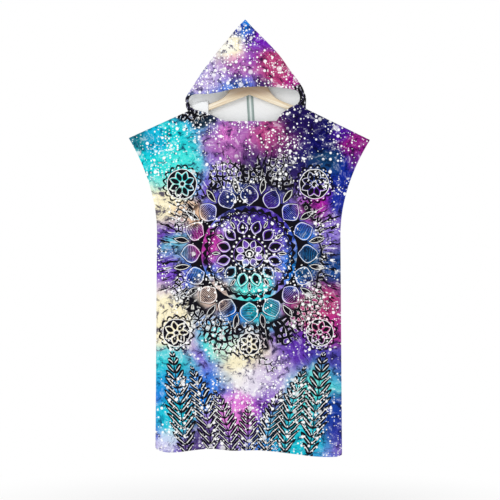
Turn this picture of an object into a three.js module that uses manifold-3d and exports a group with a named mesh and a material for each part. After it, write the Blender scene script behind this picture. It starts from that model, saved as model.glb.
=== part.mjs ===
// A hooded poncho beach towel on a wooden hanger. Millimetres, +Z up, the front of the towel faces -Y.
// The origin is the inner top of the hook's bowl, where a rail would carry the hanger.
// The towel is three cut pieces: a front and a back of one outline, joined at the shoulders and the sides,
// and a one-piece hood, folded over its crown and closed by a seam down the middle of its back.

import * as THREE from "three";
import { mergeVertices } from "three/addons/utils/BufferGeometryUtils.js";
import Module from "manifold-3d";

// ---------------------------------------------------------------- driving dimensions

const WALL = 1.6; // thickness of the towelling
const SEAM_GAP = 0.3; // clearance where two pieces are sewn together or rest on each other

// Where each shoulder line starts at the neck and ends at the armhole.
const LEFT = { side: -1, neckX: -190, neckZ: -177, tipX: -375, tipZ: -261 };
const RIGHT = { side: 1, neckX: 176, neckZ: -170, tipX: 375, tipZ: -267 };

const NECK_FLOOR_Z = -209.5; // the straight front of the neckline
const NECK_CORNER = { leftX: -131, rightX: 124, round: 7 }; // where it turns up to the shoulders

const BODY_CENTRE_X = -2;
const UNDERARM_HALF_WIDTH = 283;
const HEM_HALF_WIDTH = 290;
const HEM_MEAN_Z = -1235;
const ARMHOLE_CURVE = 300; // drop over which the side outline turns from the shoulder tip to upright
const ARMHOLE_DROP = 215; // drop from the shoulder tip to the underarm, where the side seam starts

// The lower edge of the hem, which swings a little.
const HEM_LINE = [
  { x: -292, z: -1223 },
  { x: -270, z: -1233 },
  { x: -228, z: -1235 },
  { x: -120, z: -1225 },
  { x: -50, z: -1230 },
  { x: 30, z: -1230 },
  { x: 145, z: -1241 },
  { x: 205, z: -1249 },
  { x: 270, z: -1250 },
  { x: 288, z: -1245 },
];

// The radius in which the cloth turns over the hanger, and how it shrinks towards the shoulder tips.
const SHOULDER_ROLL = { overHanger: 9.6, atTip: 3.5, shrinksFromX: 236, shrinksToX: 370 };
const SIDE_FOLD = 42; // width over which a panel turns in to its side seam
const ARMHOLE_GAPE = 0.62; // share of its depth that a panel keeps at the middle of the armhole's edge
const SWELL_DROP = 260; // drop in which most of a panel's swell builds up
const FOLDS_GROWN = 0.7; // share of its length by which a fold is fully grown
const COLUMNS_EVEN = 0.87; // share of the way down by which a panel's columns are evenly spaced
const NECK_CROWDING = 1.7; // how much closer together the columns stand towards a neck point

// Each panel's swell below the shoulders, and its folds: where a fold starts and ends, its half width, and
// how far it stands out (or in, if negative) at the hem.
const PANELS = {
  front_panel: {
    side: -1,
    swell: 13,
    folds: [
      { topX: -215, topZ: -215, hemX: -238, half: 40, out: 7 },
      { topX: -120, topZ: -445, hemX: -150, half: 44, out: -6 },
      { topX: -40, topZ: -565, hemX: -62, half: 46, out: 6 },
      { topX: 60, topZ: -485, hemX: 58, half: 50, out: -5 },
      { topX: 150, topZ: -345, hemX: 148, half: 42, out: 6 },
      { topX: 216, topZ: -217, hemX: 228, half: 36, out: -6 },
    ],
  },
  back_panel: {
    side: 1,
    swell: 12,
    folds: [
      { topX: -212, topZ: -215, hemX: -205, half: 44, out: -5 },
      { topX: -110, topZ: -405, hemX: -105, half: 40, out: 8 },
      { topX: 0, topZ: -525, hemX: 8, half: 52, out: -5 },
      { topX: 90, topZ: -445, hemX: 110, half: 44, out: 7 },
      { topX: 214, topZ: -215, hemX: 222, half: 40, out: 5 },
    ],
  },
};

// The hood's left and right outline from the front, and how far its front and back stand out at that height.
const HOOD_OUTLINE = [
  { z: 107.5, left: -12.7, right: -12.6, front: 2.8, back: 2.8 },
  { z: 102, left: -20, right: -6, front: 4, back: 4 },
  { z: 85, left: -35, right: 8, front: 7.5, back: 6 },
  { z: 57, left: -58, right: 36, front: 14, back: 9 },
  { z: 9, left: -98, right: 83, front: 25, back: 13 },
  { z: -53, left: -145, right: 129, front: 37, back: 17 },
  { z: -85, left: -166, right: 154, front: 43, back: 18 },
  { z: -111, left: -182.5, right: 168, front: 46, back: 18.5 },
  { z: -127, left: -193, right: 174.5, front: 45, back: 18.5 },
  { z: -145, left: -200, right: 176.5, front: 40, back: 18 },
  { z: -165, left: -196, right: 175.5, front: 32, back: 16.5 },
  { z: -187, left: -188, right: 176, front: 22, back: 14.5 },
  { z: -215, left: -186, right: 176, front: 12.5, back: 12 },
];

// The hood's courses, from the neck seam up to the crown. Each runs from the face edge, round the side, to
// the middle of the back, with its height at each of the three.
const HOOD_COURSES = [
  { leftX: -72, leftZ: -206, leftSideZ: -175, backZ: -209, rightX: 84, rightZ: -205, rightSideZ: -168 },
  { leftX: -98, leftZ: -200, leftSideZ: -171, backZ: -194, rightX: 98, rightZ: -189, rightSideZ: -165 },
  { leftX: -131, leftZ: -185, leftSideZ: -165, backZ: -172, rightX: 110, rightZ: -179, rightSideZ: -160 },
  { leftX: -156, leftZ: -176.5, leftSideZ: -158, backZ: -148, rightX: 126, rightZ: -168, rightSideZ: -153 },
  { leftX: -178, leftZ: -172, leftSideZ: -151, backZ: -122, rightX: 143.5, rightZ: -160, rightSideZ: -145 },
  { leftX: -188.5, leftZ: -149, leftSideZ: -139, backZ: -92, rightX: 156, rightZ: -147, rightSideZ: -135 },
  { leftX: -184, leftZ: -132.5, leftSideZ: -126, backZ: -62, rightX: 155, rightZ: -126, rightSideZ: -120 },
  { leftX: -165, leftZ: -126, leftSideZ: -101, backZ: -30, rightX: 142, rightZ: -113.5, rightSideZ: -95 },
  { leftX: -128, leftZ: -126, leftSideZ: -58, backZ: 4, rightX: 112, rightZ: -109, rightSideZ: -53 },
  { leftX: -87, leftZ: -120, leftSideZ: -5, backZ: 38, rightX: 76, rightZ: -105.5, rightSideZ: -1 },
  { leftX: -48, leftZ: -111, leftSideZ: 47, backZ: 68, rightX: 42, rightZ: -104.3, rightSideZ: 51 },
  { leftX: -20, leftZ: -107, leftSideZ: 84, backZ: 89, rightX: 22, rightZ: -104.6, rightSideZ: 83 },
  { leftX: 2, leftZ: -105.3, leftSideZ: 107.5, backZ: 107.5, rightX: 2, rightZ: -105.3, rightSideZ: 107.5 },
];
const HOOD_SKEW = 2.1; // thickness of the hood's wall, measured level across its sloping outline
const PEAK_SINK = { deep: 4, fromZ: 5 }; // how much lower the peak is inside, growing from this height
const FOOT_LIFT = 0.4; // height of the hood's foot above the neckline, which slopes
const NECK_POINT_TURN = 26; // distance in which the hood's foot turns from the neck point to the neckline

// The overlocked seam allowance inside the hood's back. It narrows as the hood does, and stops some courses
// short of the crown.
const SEAM_BAND = { width: 21, thick: 1.2, coursesBare: 2 };

const HANGER = {
  thick: 11.8,
  edgeRound: 4.2,
  halfSpan: 222,
  tipTopZ: -195,
  tipLowZ: -210.5,
  armMidX: 138,
  armMidZ: -160.5,
  armRootX: 92, // where an arm meets the hub
  armRootZ: -142,
  hubSideX: 60,
  hubSideZ: -106,
  hubTopX: 17,
  hubTopZ: -83,
  peakZ: -126.7, // the lower edge under the hub
};

// The hook: a bowl round the origin's rail, on a straight stem in the hub's drilled hole.
const HOOK = { wire: 4, bowlInner: 17, socketDeep: 20, firstTurn: -58, lastTurn: 200, bend: 14 };

// ---------------------------------------------------------------- small maths

const lerp = (a, b, t) => a + (b - a) * t;
const clamp = (t, low = 0, high = 1) => Math.min(high, Math.max(low, t));
const ease = (t) => clamp(t) ** 2 * (3 - 2 * clamp(t));
const softPlus = (t) => Math.log1p(Math.exp(-Math.abs(t))) + Math.max(t, 0);
const radians = THREE.MathUtils.degToRad;

// A smooth curve through a table's column, read at `at` in its key column, which may rise or fall.
function read(table, key, column, at) {
  const rows = table[0][key] < table[1][key] ? table : [...table].reverse();
  let i = 0;
  while (i < rows.length - 2 && at > rows[i + 1][key]) i++;
  const slope = (k) => {
    const a = rows[Math.max(k - 1, 0)];
    const b = rows[Math.min(k + 1, rows.length - 1)];
    return (b[column] - a[column]) / (b[key] - a[key]);
  };
  const [a, b] = [rows[i], rows[i + 1]];
  const span = b[key] - a[key];
  const t = clamp((at - a[key]) / span);
  const [t2, t3] = [t * t, t * t * t];
  const held = (2 * t3 - 3 * t2 + 1) * a[column] + (3 * t2 - 2 * t3) * b[column];
  return held + span * ((t3 - 2 * t2 + t) * slope(i) + (t3 - t2) * slope(i + 1));
}

// Numbers from a to b, closer together near a as `power` rises above 1.
const spread = (a, b, count, power = 1) =>
  Array.from({ length: count }, (_, i) => lerp(a, b, (i / (count - 1)) ** power));

// ---------------------------------------------------------------- meshes

// A mesh from points and triangles, turned round if its faces point in.
function meshOf(name, material, points, triangles) {
  const sixthVolume = ([a, b, c]) => points[a].dot(points[b].clone().cross(points[c]));
  const volume = triangles.reduce((sum, triangle) => sum + sixthVolume(triangle), 0);
  const facing = volume < 0 ? triangles.map(([a, b, c]) => [a, c, b]) : triangles;
  const geometry = new THREE.BufferGeometry();
  geometry.setAttribute("position", new THREE.Float32BufferAttribute(points.flatMap((p) => p.toArray()), 3));
  geometry.setIndex(facing.flat());
  geometry.computeVertexNormals();
  const mesh = new THREE.Mesh(geometry, material);
  mesh.name = name;
  return mesh;
}

// Two triangles for a four-sided face, leaving out a side that has shrunk to a point.
const quad = (a, b, c, d) => [[a, b, c], [a, c, d]].filter(([p, q, r]) => p !== q && q !== r && p !== r);

// A closed wall from a grid of outer points and a grid of inner points, with a rim along its open edges.
// `same` gives the number of the point that a grid place stands for, so that the grid's edges can be joined.
function wall(name, material, outer, inner, same = (i, j) => i * outer[0].length + j) {
  const [rows, columns] = [outer.length, outer[0].length];
  const used = new Map();
  const points = [];
  const number = (layer, i, j) => {
    const key = (layer === outer ? "outer" : "inner") + same(i, j);
    if (!used.has(key)) used.set(key, points.push(layer[i][j]) - 1);
    return used.get(key);
  };
  const triangles = [];
  const openEdges = new Map();
  for (let i = 0; i + 1 < rows; i++)
    for (let j = 0; j + 1 < columns; j++) {
      const corners = [[i, j], [i, j + 1], [i + 1, j + 1], [i + 1, j]];
      const out = corners.map(([a, b]) => number(outer, a, b));
      const inn = corners.map(([a, b]) => number(inner, a, b));
      triangles.push(...quad(...out), ...quad(...inn).map(([a, b, c]) => [a, c, b]));
      out.forEach((a, k) => {
        const b = out[(k + 1) % 4];
        if (a === b || openEdges.delete(b + "," + a)) return;
        openEdges.set(a + "," + b, [b, a, inn[k], inn[(k + 1) % 4]]);
      });
    }
  for (const rim of openEdges.values()) triangles.push(...quad(...rim));
  return meshOf(name, material, points, triangles);
}

// ---------------------------------------------------------------- the body's outline

const shoulderSlope = (s) => (s.neckZ - s.tipZ) / Math.abs(s.tipX - s.neckX);

// Height of the ridge over the hanger's arms, carried on over the neck.
const shoulderLineZ = (s, x) => s.neckZ - shoulderSlope(s) * s.side * (x - s.neckX);
const ridgeZ = (x) => Math.min(shoulderLineZ(LEFT, x), shoulderLineZ(RIGHT, x));

// Height of the neckline between the neck points: a straight floor, and sides that slope up to the shoulders.
function necklineZ(x) {
  const [s, cornerX] = x < 0 ? [LEFT, NECK_CORNER.leftX] : [RIGHT, NECK_CORNER.rightX];
  const rise = (s.neckZ - NECK_FLOOR_Z) / Math.abs(s.neckX - cornerX);
  return NECK_FLOOR_Z + rise * NECK_CORNER.round * softPlus((s.side * (x - cornerX)) / NECK_CORNER.round);
}

const topZ = (x) => (x > LEFT.neckX && x < RIGHT.neckX ? Math.min(necklineZ(x), ridgeZ(x)) : ridgeZ(x));

// The left or right outline at a height: the armhole's curve, then the side seam.
function edgeX(s, z) {
  const down = clamp((s.tipZ - z) / (s.tipZ - HEM_MEAN_Z));
  const sideX = BODY_CENTRE_X + s.side * lerp(UNDERARM_HALF_WIDTH, HEM_HALF_WIDTH, down);
  const reach = s.tipX - BODY_CENTRE_X - s.side * UNDERARM_HALF_WIDTH;
  return sideX + reach * (1 - clamp((s.tipZ - z) / ARMHOLE_CURVE)) ** 2;
}

// ---------------------------------------------------------------- the body's depth

function rollRadius(x) {
  const { overHanger, atTip, shrinksFromX, shrinksToX } = SHOULDER_ROLL;
  return lerp(overHanger, atTip, ease((Math.abs(x) - shrinksFromX) / (shrinksToX - shrinksFromX)));
}

function foldOut(fold, x, z) {
  const down = clamp((fold.topZ - z) / (fold.topZ - HEM_MEAN_Z));
  const off = (x - lerp(fold.topX, fold.hemX, down)) / fold.half;
  return fold.out * ease(down / FOLDS_GROWN) * Math.exp(-off * off);
}

// How far a panel's outer face stands from the middle plane. Its armhole edge never meets the other panel's.
function panelDepth(panel, x, z) {
  const drop = Math.max(0, ridgeZ(x) - z);
  const radius = rollRadius(x);
  const over = drop < radius ? Math.sqrt(radius ** 2 - (radius - drop) ** 2) : radius;
  const swell = panel.swell * (1 - Math.exp(-drop / SWELL_DROP));
  const folds = panel.folds.reduce((sum, fold) => sum + foldOut(fold, x, z), 0);
  const s = x < BODY_CENTRE_X ? LEFT : RIGHT;
  const inset = clamp((s.side * (edgeX(s, z) - x)) / SIDE_FOLD);
  const downArmhole = (s.tipZ - z) / ARMHOLE_DROP;
  const onArmhole = downArmhole > 0 && downArmhole < 1;
  const open = onArmhole ? ARMHOLE_GAPE * Math.sin(Math.PI * downArmhole) ** 0.8 : 0;
  const kept = open + (1 - open) * Math.sqrt(1 - (1 - inset) ** 2);
  return SEAM_GAP / 2 + Math.max(onArmhole ? WALL : 0, (over + swell + folds) * kept);
}

// ---------------------------------------------------------------- the front and back panels

const FACE_LEFT_X = HOOD_COURSES[0].leftX; // the hood's face edge ends here on the neckline
const FACE_RIGHT_X = HOOD_COURSES[0].rightX;
const NECK_STEPS = 9;
const SHOULDER_STEPS = 8;
const NECK_LEFT_X = spread(LEFT.neckX, FACE_LEFT_X, NECK_STEPS, NECK_CROWDING);
const NECK_RIGHT_X = spread(RIGHT.neckX, FACE_RIGHT_X, NECK_STEPS, NECK_CROWDING).reverse();
const MIDDLE_X = (FACE_LEFT_X + FACE_RIGHT_X) / 2;
const SEAM_SIDES_X = [-0.5, 0, 0.5].map((t) => MIDDLE_X + t * SEAM_BAND.width);
const BARE_NECK_X = [
  FACE_LEFT_X,
  (FACE_LEFT_X + MIDDLE_X) / 2,
  ...SEAM_SIDES_X,
  (MIDDLE_X + FACE_RIGHT_X) / 2,
  FACE_RIGHT_X,
];
const COLUMN_TOPS = [
  ...spread(LEFT.tipX, LEFT.neckX, SHOULDER_STEPS).slice(0, -1),
  ...NECK_LEFT_X.slice(0, -1),
  ...BARE_NECK_X,
  ...NECK_RIGHT_X.slice(1),
  ...spread(RIGHT.neckX, RIGHT.tipX, SHOULDER_STEPS).slice(1),
];
const ROLL_DROPS = [0, 30, 60, 90].map((turn) => SHOULDER_ROLL.overHanger * (1 - Math.cos(radians(turn))));
const HUNG_ROWS = spread(0, 1, 14, 1.25).slice(1); // shares of the way from the roll to the hem

const panelPoint = (panel, x, z) => new THREE.Vector3(x, panel.side * panelDepth(panel, x, z), z);

// The grid of a panel's outer points, a row for each course from the top edge to the hem.
function panelGrid(panel) {
  const row = (rolled, down) =>
    COLUMN_TOPS.map((topX, column) => {
      const even = column / (COLUMN_TOPS.length - 1);
      const hemX = lerp(edgeX(LEFT, HEM_MEAN_Z), edgeX(RIGHT, HEM_MEAN_Z), even);
      const z = lerp(topZ(topX) - rolled, read(HEM_LINE, "x", "z", hemX), down);
      const share = lerp((topX - LEFT.tipX) / (RIGHT.tipX - LEFT.tipX), even, ease(down / COLUMNS_EVEN));
      return panelPoint(panel, lerp(edgeX(LEFT, z), edgeX(RIGHT, z), share), z);
    });
  const lastRoll = ROLL_DROPS[ROLL_DROPS.length - 1];
  return [...ROLL_DROPS.map((rolled) => row(rolled, 0)), ...HUNG_ROWS.map((down) => row(lastRoll, down))];
}

// The outward direction at each point of a panel's grid, from the faces round it.
function outward(grid, side) {
  const face = (i, j) => {
    if (!grid[i]?.[j] || !grid[i + 1]?.[j + 1]) return new THREE.Vector3();
    const along = grid[i + 1][j + 1].clone().sub(grid[i][j]);
    const across = grid[i][j + 1].clone().sub(grid[i + 1][j]);
    return along.cross(across);
  };
  const around = (i, j) => face(i, j).add(face(i - 1, j)).add(face(i, j - 1)).add(face(i - 1, j - 1));
  return grid.map((row, i) => row.map((_, j) => around(i, j).multiplyScalar(-side).normalize()));
}

// A panel's inner points: WALL inside the outer ones, and kept in the seam's own plane along a sewn edge.
function panelInner(panel, grid) {
  const normals = outward(grid, panel.side);
  const last = COLUMN_TOPS.length - 1;
  const sewn = (point, i, j) => {
    const onShoulder = i === 0 && (COLUMN_TOPS[j] <= LEFT.neckX || COLUMN_TOPS[j] >= RIGHT.neckX);
    const underarmZ = (j === 0 ? LEFT.tipZ : RIGHT.tipZ) - ARMHOLE_DROP;
    return onShoulder || ((j === 0 || j === last) && point.z < underarmZ);
  };
  return grid.map((row, i) =>
    row.map((point, j) => {
      const way = normals[i][j].clone();
      if (sewn(point, i, j)) way.setY(0).normalize();
      return point.clone().addScaledVector(way, -WALL);
    }),
  );
}

function makePanel(name, material) {
  const outer = panelGrid(PANELS[name]);
  return wall(name, material, outer, panelInner(PANELS[name], outer));
}

// ---------------------------------------------------------------- the hood

const PEAK = HOOD_OUTLINE[0];
const outline = (column, z) => read(HOOD_OUTLINE, "z", column, z);

// A point on the hood's outer or inner face, at a place in the front view, on its front (-1) or its back (1).
function hoodPoint(x, z, face, inside) {
  const middle = (outline("left", z) + outline("right", z)) / 2;
  const half = (outline("right", z) - outline("left", z)) / 2;
  const across = clamp((x - middle) / half, -1, 1);
  const depth = (level) => outline(face < 0 ? "front" : "back", level) * Math.sqrt(1 - across ** 2);
  if (!inside) return new THREE.Vector3(middle + across * half, face * depth(z), z);
  const level = z - PEAK_SINK.deep * clamp((z - PEAK_SINK.fromZ) / (PEAK.z - PEAK_SINK.fromZ)) ** 3;
  const innerMiddle = (outline("left", level) + outline("right", level)) / 2;
  const innerHalf = (outline("right", level) - outline("left", level)) / 2 - HOOD_SKEW;
  const innerDepth = Math.max(0, depth(level) - WALL * Math.sqrt(1 - across ** 2));
  return new THREE.Vector3(innerMiddle + across * innerHalf, face * innerDepth, level);
}

// The hood's foot just above a panel's neckline. At a neck point it stands across the shoulder ridge, and it
// turns from there to carry on the panel's own wall.
function neckFoot(x, face, inside) {
  const foot = panelPoint(face < 0 ? PANELS.front_panel : PANELS.back_panel, x, topZ(x));
  foot.z += FOOT_LIFT;
  if (!inside) return foot;
  const s = x < MIDDLE_X ? LEFT : RIGHT;
  const acrossRidge = new THREE.Vector3(-s.side, 0, 0);
  const throughWall = new THREE.Vector3(0, -face, 0);
  const turned = ease(Math.abs(x - s.neckX) / NECK_POINT_TURN);
  return foot.addScaledVector(acrossRidge.lerp(throughWall, turned).normalize(), WALL);
}

// The stretch of a course from the face edge to the side.
const FACE_SHARES = spread(0, 1, NECK_STEPS, NECK_CROWDING).reverse();
function hoodFront(course, s, inside) {
  const side = hoodSide(course, s);
  const faceX = s === LEFT ? course.leftX : course.rightX;
  const faceZ = s === LEFT ? course.leftZ : course.rightZ;
  if (course === HOOD_COURSES[0])
    return FACE_SHARES.map((t) => neckFoot(lerp(s.neckX, faceX, t), -1, inside));
  return FACE_SHARES.map((t) => hoodPoint(lerp(side.x, faceX, t), lerp(side.z, faceZ, t), -1, inside));
}

// The stretch of a course from the side to the middle of the back, both ends included.
function hoodBack(course, s, inside) {
  const side = hoodSide(course, s);
  const bare = BARE_NECK_X.length;
  const neckXs =
    s === LEFT
      ? [...NECK_LEFT_X, ...BARE_NECK_X.slice(1, (bare + 1) / 2)]
      : [...NECK_RIGHT_X.toReversed(), ...BARE_NECK_X.slice((bare - 1) / 2, -1).reverse()];
  if (course === HOOD_COURSES[0]) return neckXs.map((x) => neckFoot(x, 1, inside));
  const up = (course.backZ - HOOD_COURSES[0].backZ) / (PEAK.z - HOOD_COURSES[0].backZ);
  const seamX = lerp(MIDDLE_X, (PEAK.left + PEAK.right) / 2, up);
  const shares = neckXs.map((x) => (x - neckXs[0]) / (MIDDLE_X - neckXs[0]));
  return shares.map((t) => hoodPoint(lerp(side.x, seamX, t), lerp(side.z, course.backZ, t), 1, inside));
}

function hoodSide(course, s) {
  const z = s === LEFT ? course.leftSideZ : course.rightSideZ;
  return { x: outline(s === LEFT ? "left" : "right", z), z };
}

// Each course from the left face edge, round the back, to the right face edge.
const hoodGrid = (inside) =>
  HOOD_COURSES.map((course) => [
    ...hoodFront(course, LEFT, inside),
    ...hoodBack(course, LEFT, inside).slice(1),
    ...hoodBack(course, RIGHT, inside).slice(0, -1).reverse(),
    ...hoodFront(course, RIGHT, inside).slice(0, -1).reverse(),
  ]);

function makeHood(material) {
  const outer = hoodGrid(false);
  const [rows, columns] = [outer.length, outer[0].length];
  // In the top course the two halves meet in the fold over the crown, and the whole back is the peak.
  const same = (i, j) => i * columns + (i < rows - 1 ? j : Math.min(j, columns - 1 - j, NECK_STEPS - 1));
  return wall("hood", material, outer, hoodGrid(true), same);
}

// The band of seam allowance up the inside of the hood's back, on the hood's own points.
function makeSeamBand(material) {
  const courses = hoodGrid(true).slice(0, -SEAM_BAND.coursesBare);
  const middle = (courses[0].length - 1) / 2;
  const strip = (stand) =>
    courses.map((course) =>
      course.slice(middle - 1, middle + 2).map((point) => point.clone().setY(point.y - SEAM_GAP - stand)),
    );
  return wall("hood_seam_band", material, strip(0), strip(SEAM_BAND.thick));
}

// ---------------------------------------------------------------- the hanger

// The hanger's outline in X and Z: its right half, from under the hub, round the arm and over the hub, and
// then its mirror.
function hangerOutline() {
  const h = HANGER;
  const half = new THREE.Path();
  half.moveTo(0, h.peakZ);
  half.lineTo(h.halfSpan - 8, h.tipLowZ);
  half.bezierCurveTo(h.halfSpan, h.tipLowZ - 3, h.halfSpan, h.tipTopZ - 3, h.halfSpan - 5, h.tipTopZ + 2);
  half.quadraticCurveTo(h.armMidX + 34, h.armMidZ - 10, h.armMidX, h.armMidZ);
  half.quadraticCurveTo(h.armRootX + 16, h.armRootZ - 8, h.armRootX, h.armRootZ);
  half.quadraticCurveTo(h.hubSideX + 10, h.armRootZ + 12, h.hubSideX, h.hubSideZ);
  half.quadraticCurveTo(h.hubSideX - 14, h.hubTopZ, h.hubTopX, h.hubTopZ);
  const points = half.getPoints(5);
  const mirrored = points.slice(1).reverse().map((p) => new THREE.Vector2(-p.x, p.y));
  return new THREE.Shape([...points, ...mirrored]);
}

// An extruded shape, drawn in X and Z, centred on the middle plane.
function hangerBlank() {
  const { thick, edgeRound } = HANGER;
  const geometry = new THREE.ExtrudeGeometry(hangerOutline(), {
    depth: thick - 2 * edgeRound,
    bevelThickness: edgeRound,
    bevelSize: edgeRound,
    bevelOffset: -edgeRound,
    bevelSegments: 3,
  });
  return geometry.translate(0, 0, edgeRound - thick / 2).rotateX(Math.PI / 2);
}

function solidOf(wasm, geometry) {
  const bare = geometry.clone().deleteAttribute("normal").deleteAttribute("uv");
  const merged = mergeVertices(bare, 1e-3);
  const vertProperties = merged.attributes.position.array;
  const triVerts = new Uint32Array(merged.index.array);
  return new wasm.Manifold(new wasm.Mesh({ numProp: 3, vertProperties, triVerts }));
}

function geometryOf(solid) {
  const { vertProperties, triVerts } = solid.getMesh();
  const geometry = new THREE.BufferGeometry();
  geometry.setAttribute("position", new THREE.Float32BufferAttribute(vertProperties, 3));
  geometry.setIndex(new THREE.Uint32BufferAttribute(triVerts, 1));
  geometry.computeVertexNormals();
  return geometry;
}

// The wooden body, with the hole that the hook's stem stands in.
function makeHangerBody(wasm, material) {
  const holeRadius = HOOK.wire / 2 + SEAM_GAP;
  const hole = new THREE.CylinderGeometry(holeRadius, holeRadius, 2 * HOOK.socketDeep, 16);
  hole.rotateX(Math.PI / 2).translate(0, 0, HANGER.hubTopZ);
  const drilled = solidOf(wasm, hangerBlank()).subtract(solidOf(wasm, hole));
  const mesh = new THREE.Mesh(geometryOf(drilled), material);
  mesh.name = "hanger_body";
  return mesh;
}

// The hook's wire: straight up from the socket, a bend out to the side, then the bowl over the top.
function makeHook(material) {
  const { wire, bowlInner, socketDeep, firstTurn, lastTurn, bend } = HOOK;
  const radius = bowlInner + wire / 2;
  const centreZ = -bowlInner;
  const path = new THREE.CurvePath();
  const point = (x, z) => new THREE.Vector3(x, 0, z);
  const onBowl = (degrees) => {
    const turn = radians(degrees);
    return point(radius * Math.cos(turn), centreZ + radius * Math.sin(turn));
  };
  const start = onBowl(firstTurn);
  const stemTop = point(0, start.z - 2 * bend);
  const along = point(-Math.sin(radians(firstTurn)), Math.cos(radians(firstTurn)));
  const bendStart = stemTop.clone().setZ(stemTop.z + bend);
  const bendEnd = start.clone().addScaledVector(along, -bend);
  path.add(new THREE.LineCurve3(point(0, HANGER.hubTopZ - socketDeep + SEAM_GAP), stemTop));
  path.add(new THREE.CubicBezierCurve3(stemTop, bendStart, bendEnd, start));
  const turns = spread(firstTurn, lastTurn, 22);
  turns.slice(1).forEach((turn, i) => path.add(new THREE.LineCurve3(onBowl(turns[i]), onBowl(turn))));
  const section = new THREE.Shape().absarc(0, 0, wire / 2, 0, 2 * Math.PI);
  const geometry = new THREE.ExtrudeGeometry(section, { extrudePath: path, steps: 60, curveSegments: 5 });
  const mesh = new THREE.Mesh(geometry, material);
  mesh.name = "hanger_hook";
  return mesh;
}

// ---------------------------------------------------------------- the part

const MATERIALS = {
  printedTowel: new THREE.MeshStandardMaterial({ color: 0x8a5fb8, roughness: 0.95, side: THREE.DoubleSide }),
  paleTowel: new THREE.MeshStandardMaterial({ color: 0xdfe0de, roughness: 0.95 }),
  wood: new THREE.MeshStandardMaterial({ color: 0xe6d9c0, roughness: 0.5 }),
  steel: new THREE.MeshStandardMaterial({ color: 0xc4c6c8, roughness: 0.25, metalness: 1 }),
};

const wasm = await Module();
wasm.setup();

const towel = new THREE.Group();
towel.add(
  makePanel("front_panel", MATERIALS.printedTowel),
  makePanel("back_panel", MATERIALS.printedTowel),
  makeHood(MATERIALS.printedTowel),
  makeSeamBand(MATERIALS.paleTowel),
);

const hanger = new THREE.Group();
hanger.add(makeHangerBody(wasm, MATERIALS.wood), makeHook(MATERIALS.steel));

const part = new THREE.Group();
part.add(towel, hanger);

export default part;
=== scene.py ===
"""A hooded poncho beach towel, printed outside and pale on its reverse, hung on a plain wooden hanger.

The cloth is worked out in millimetres, by the same cut as the frame's solids, and made as thin shells in
metres. The front of the towel faces -Y, and the origin is the inner top of the hanger's hook.
"""

import math
from collections import namedtuple

import bmesh
import bpy
import numpy as np
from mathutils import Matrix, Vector


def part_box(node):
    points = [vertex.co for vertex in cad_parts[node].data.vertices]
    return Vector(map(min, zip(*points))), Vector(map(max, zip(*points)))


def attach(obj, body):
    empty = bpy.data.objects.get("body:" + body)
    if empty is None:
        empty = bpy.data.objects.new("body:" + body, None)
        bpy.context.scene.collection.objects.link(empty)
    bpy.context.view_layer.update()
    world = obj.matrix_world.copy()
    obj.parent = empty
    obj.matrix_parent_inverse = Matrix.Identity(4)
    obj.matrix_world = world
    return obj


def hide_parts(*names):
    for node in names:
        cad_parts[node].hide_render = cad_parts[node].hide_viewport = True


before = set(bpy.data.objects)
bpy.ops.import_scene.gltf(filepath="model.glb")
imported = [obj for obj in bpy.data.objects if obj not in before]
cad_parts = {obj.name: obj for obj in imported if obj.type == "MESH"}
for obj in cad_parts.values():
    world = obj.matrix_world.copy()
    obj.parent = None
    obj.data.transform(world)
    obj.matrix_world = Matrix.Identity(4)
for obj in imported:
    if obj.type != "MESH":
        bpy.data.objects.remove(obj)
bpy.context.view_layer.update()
MM = 0.001

# ---------------------------------------------------------------- the cut, in millimetres

WALL = 1.6  # thickness of the towelling
SEAM_GAP = 0.04  # what is left between two pieces where they are sewn together
STITCHED_IN = 13.5  # from a finished edge to its row of stitches
TURNED_IN = 15.5  # from a finished edge to the end of its turned cloth

Shoulder = namedtuple("Shoulder", "side neck_x neck_z tip_x tip_z")
LEFT = Shoulder(-1, -190, -177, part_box("front_panel")[0].x / MM, -261)
RIGHT = Shoulder(1, 176, -170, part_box("front_panel")[1].x / MM, -267)

NECK_FLOOR_Z = -209.5
NECK_CORNERS_X = {LEFT: -131, RIGHT: 124}
NECK_CORNER_ROUND = 7
FACE_ENDS_X = {LEFT: -72, RIGHT: 84}  # where the hood's face edge meets the neckline
MIDDLE_X = (FACE_ENDS_X[LEFT] + FACE_ENDS_X[RIGHT]) / 2

BODY_CENTRE_X = -2
UNDERARM_HALF_WIDTH = 283
HEM_HALF_WIDTH = 290
HEM_MEAN_Z = -1235
ARMHOLE_CURVE = 300  # drop over which the side outline turns from the shoulder tip to upright
ARMHOLE_DROP = 215  # drop from the shoulder tip to the underarm
HEM_X = (-292, -270, -228, -120, -50, 30, 145, 205, 270, 288)
HEM_Z = (-1223, -1233, -1235, -1225, -1230, -1230, -1241, -1249, -1250, -1245)

ROLL_OVER_HANGER = 9.6  # radius in which the cloth turns over the hanger's arms
ROLL_AT_TIP = 3.5
ROLL_SHRINKS_X = (236, 370)
SIDE_FOLD = 42  # width over which a panel turns in to its side seam
ARMHOLE_GAPE = 0.62
SWELL_DROP = 260
FOLDS_GROWN = 0.7

# A fold that grows from its top to the hem: where it starts and ends, its half width, and how far it stands
# out.
Fold = namedtuple("Fold", "top_x top_z hem_x half out")
# A crease or ridge: from one place to another, bowed sideways, with its half width and how far it stands
# out.
Crease = namedtuple("Crease", "x1 z1 x2 z2 bow half out")
Panel = namedtuple("Panel", "side swell folds creases")

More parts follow.
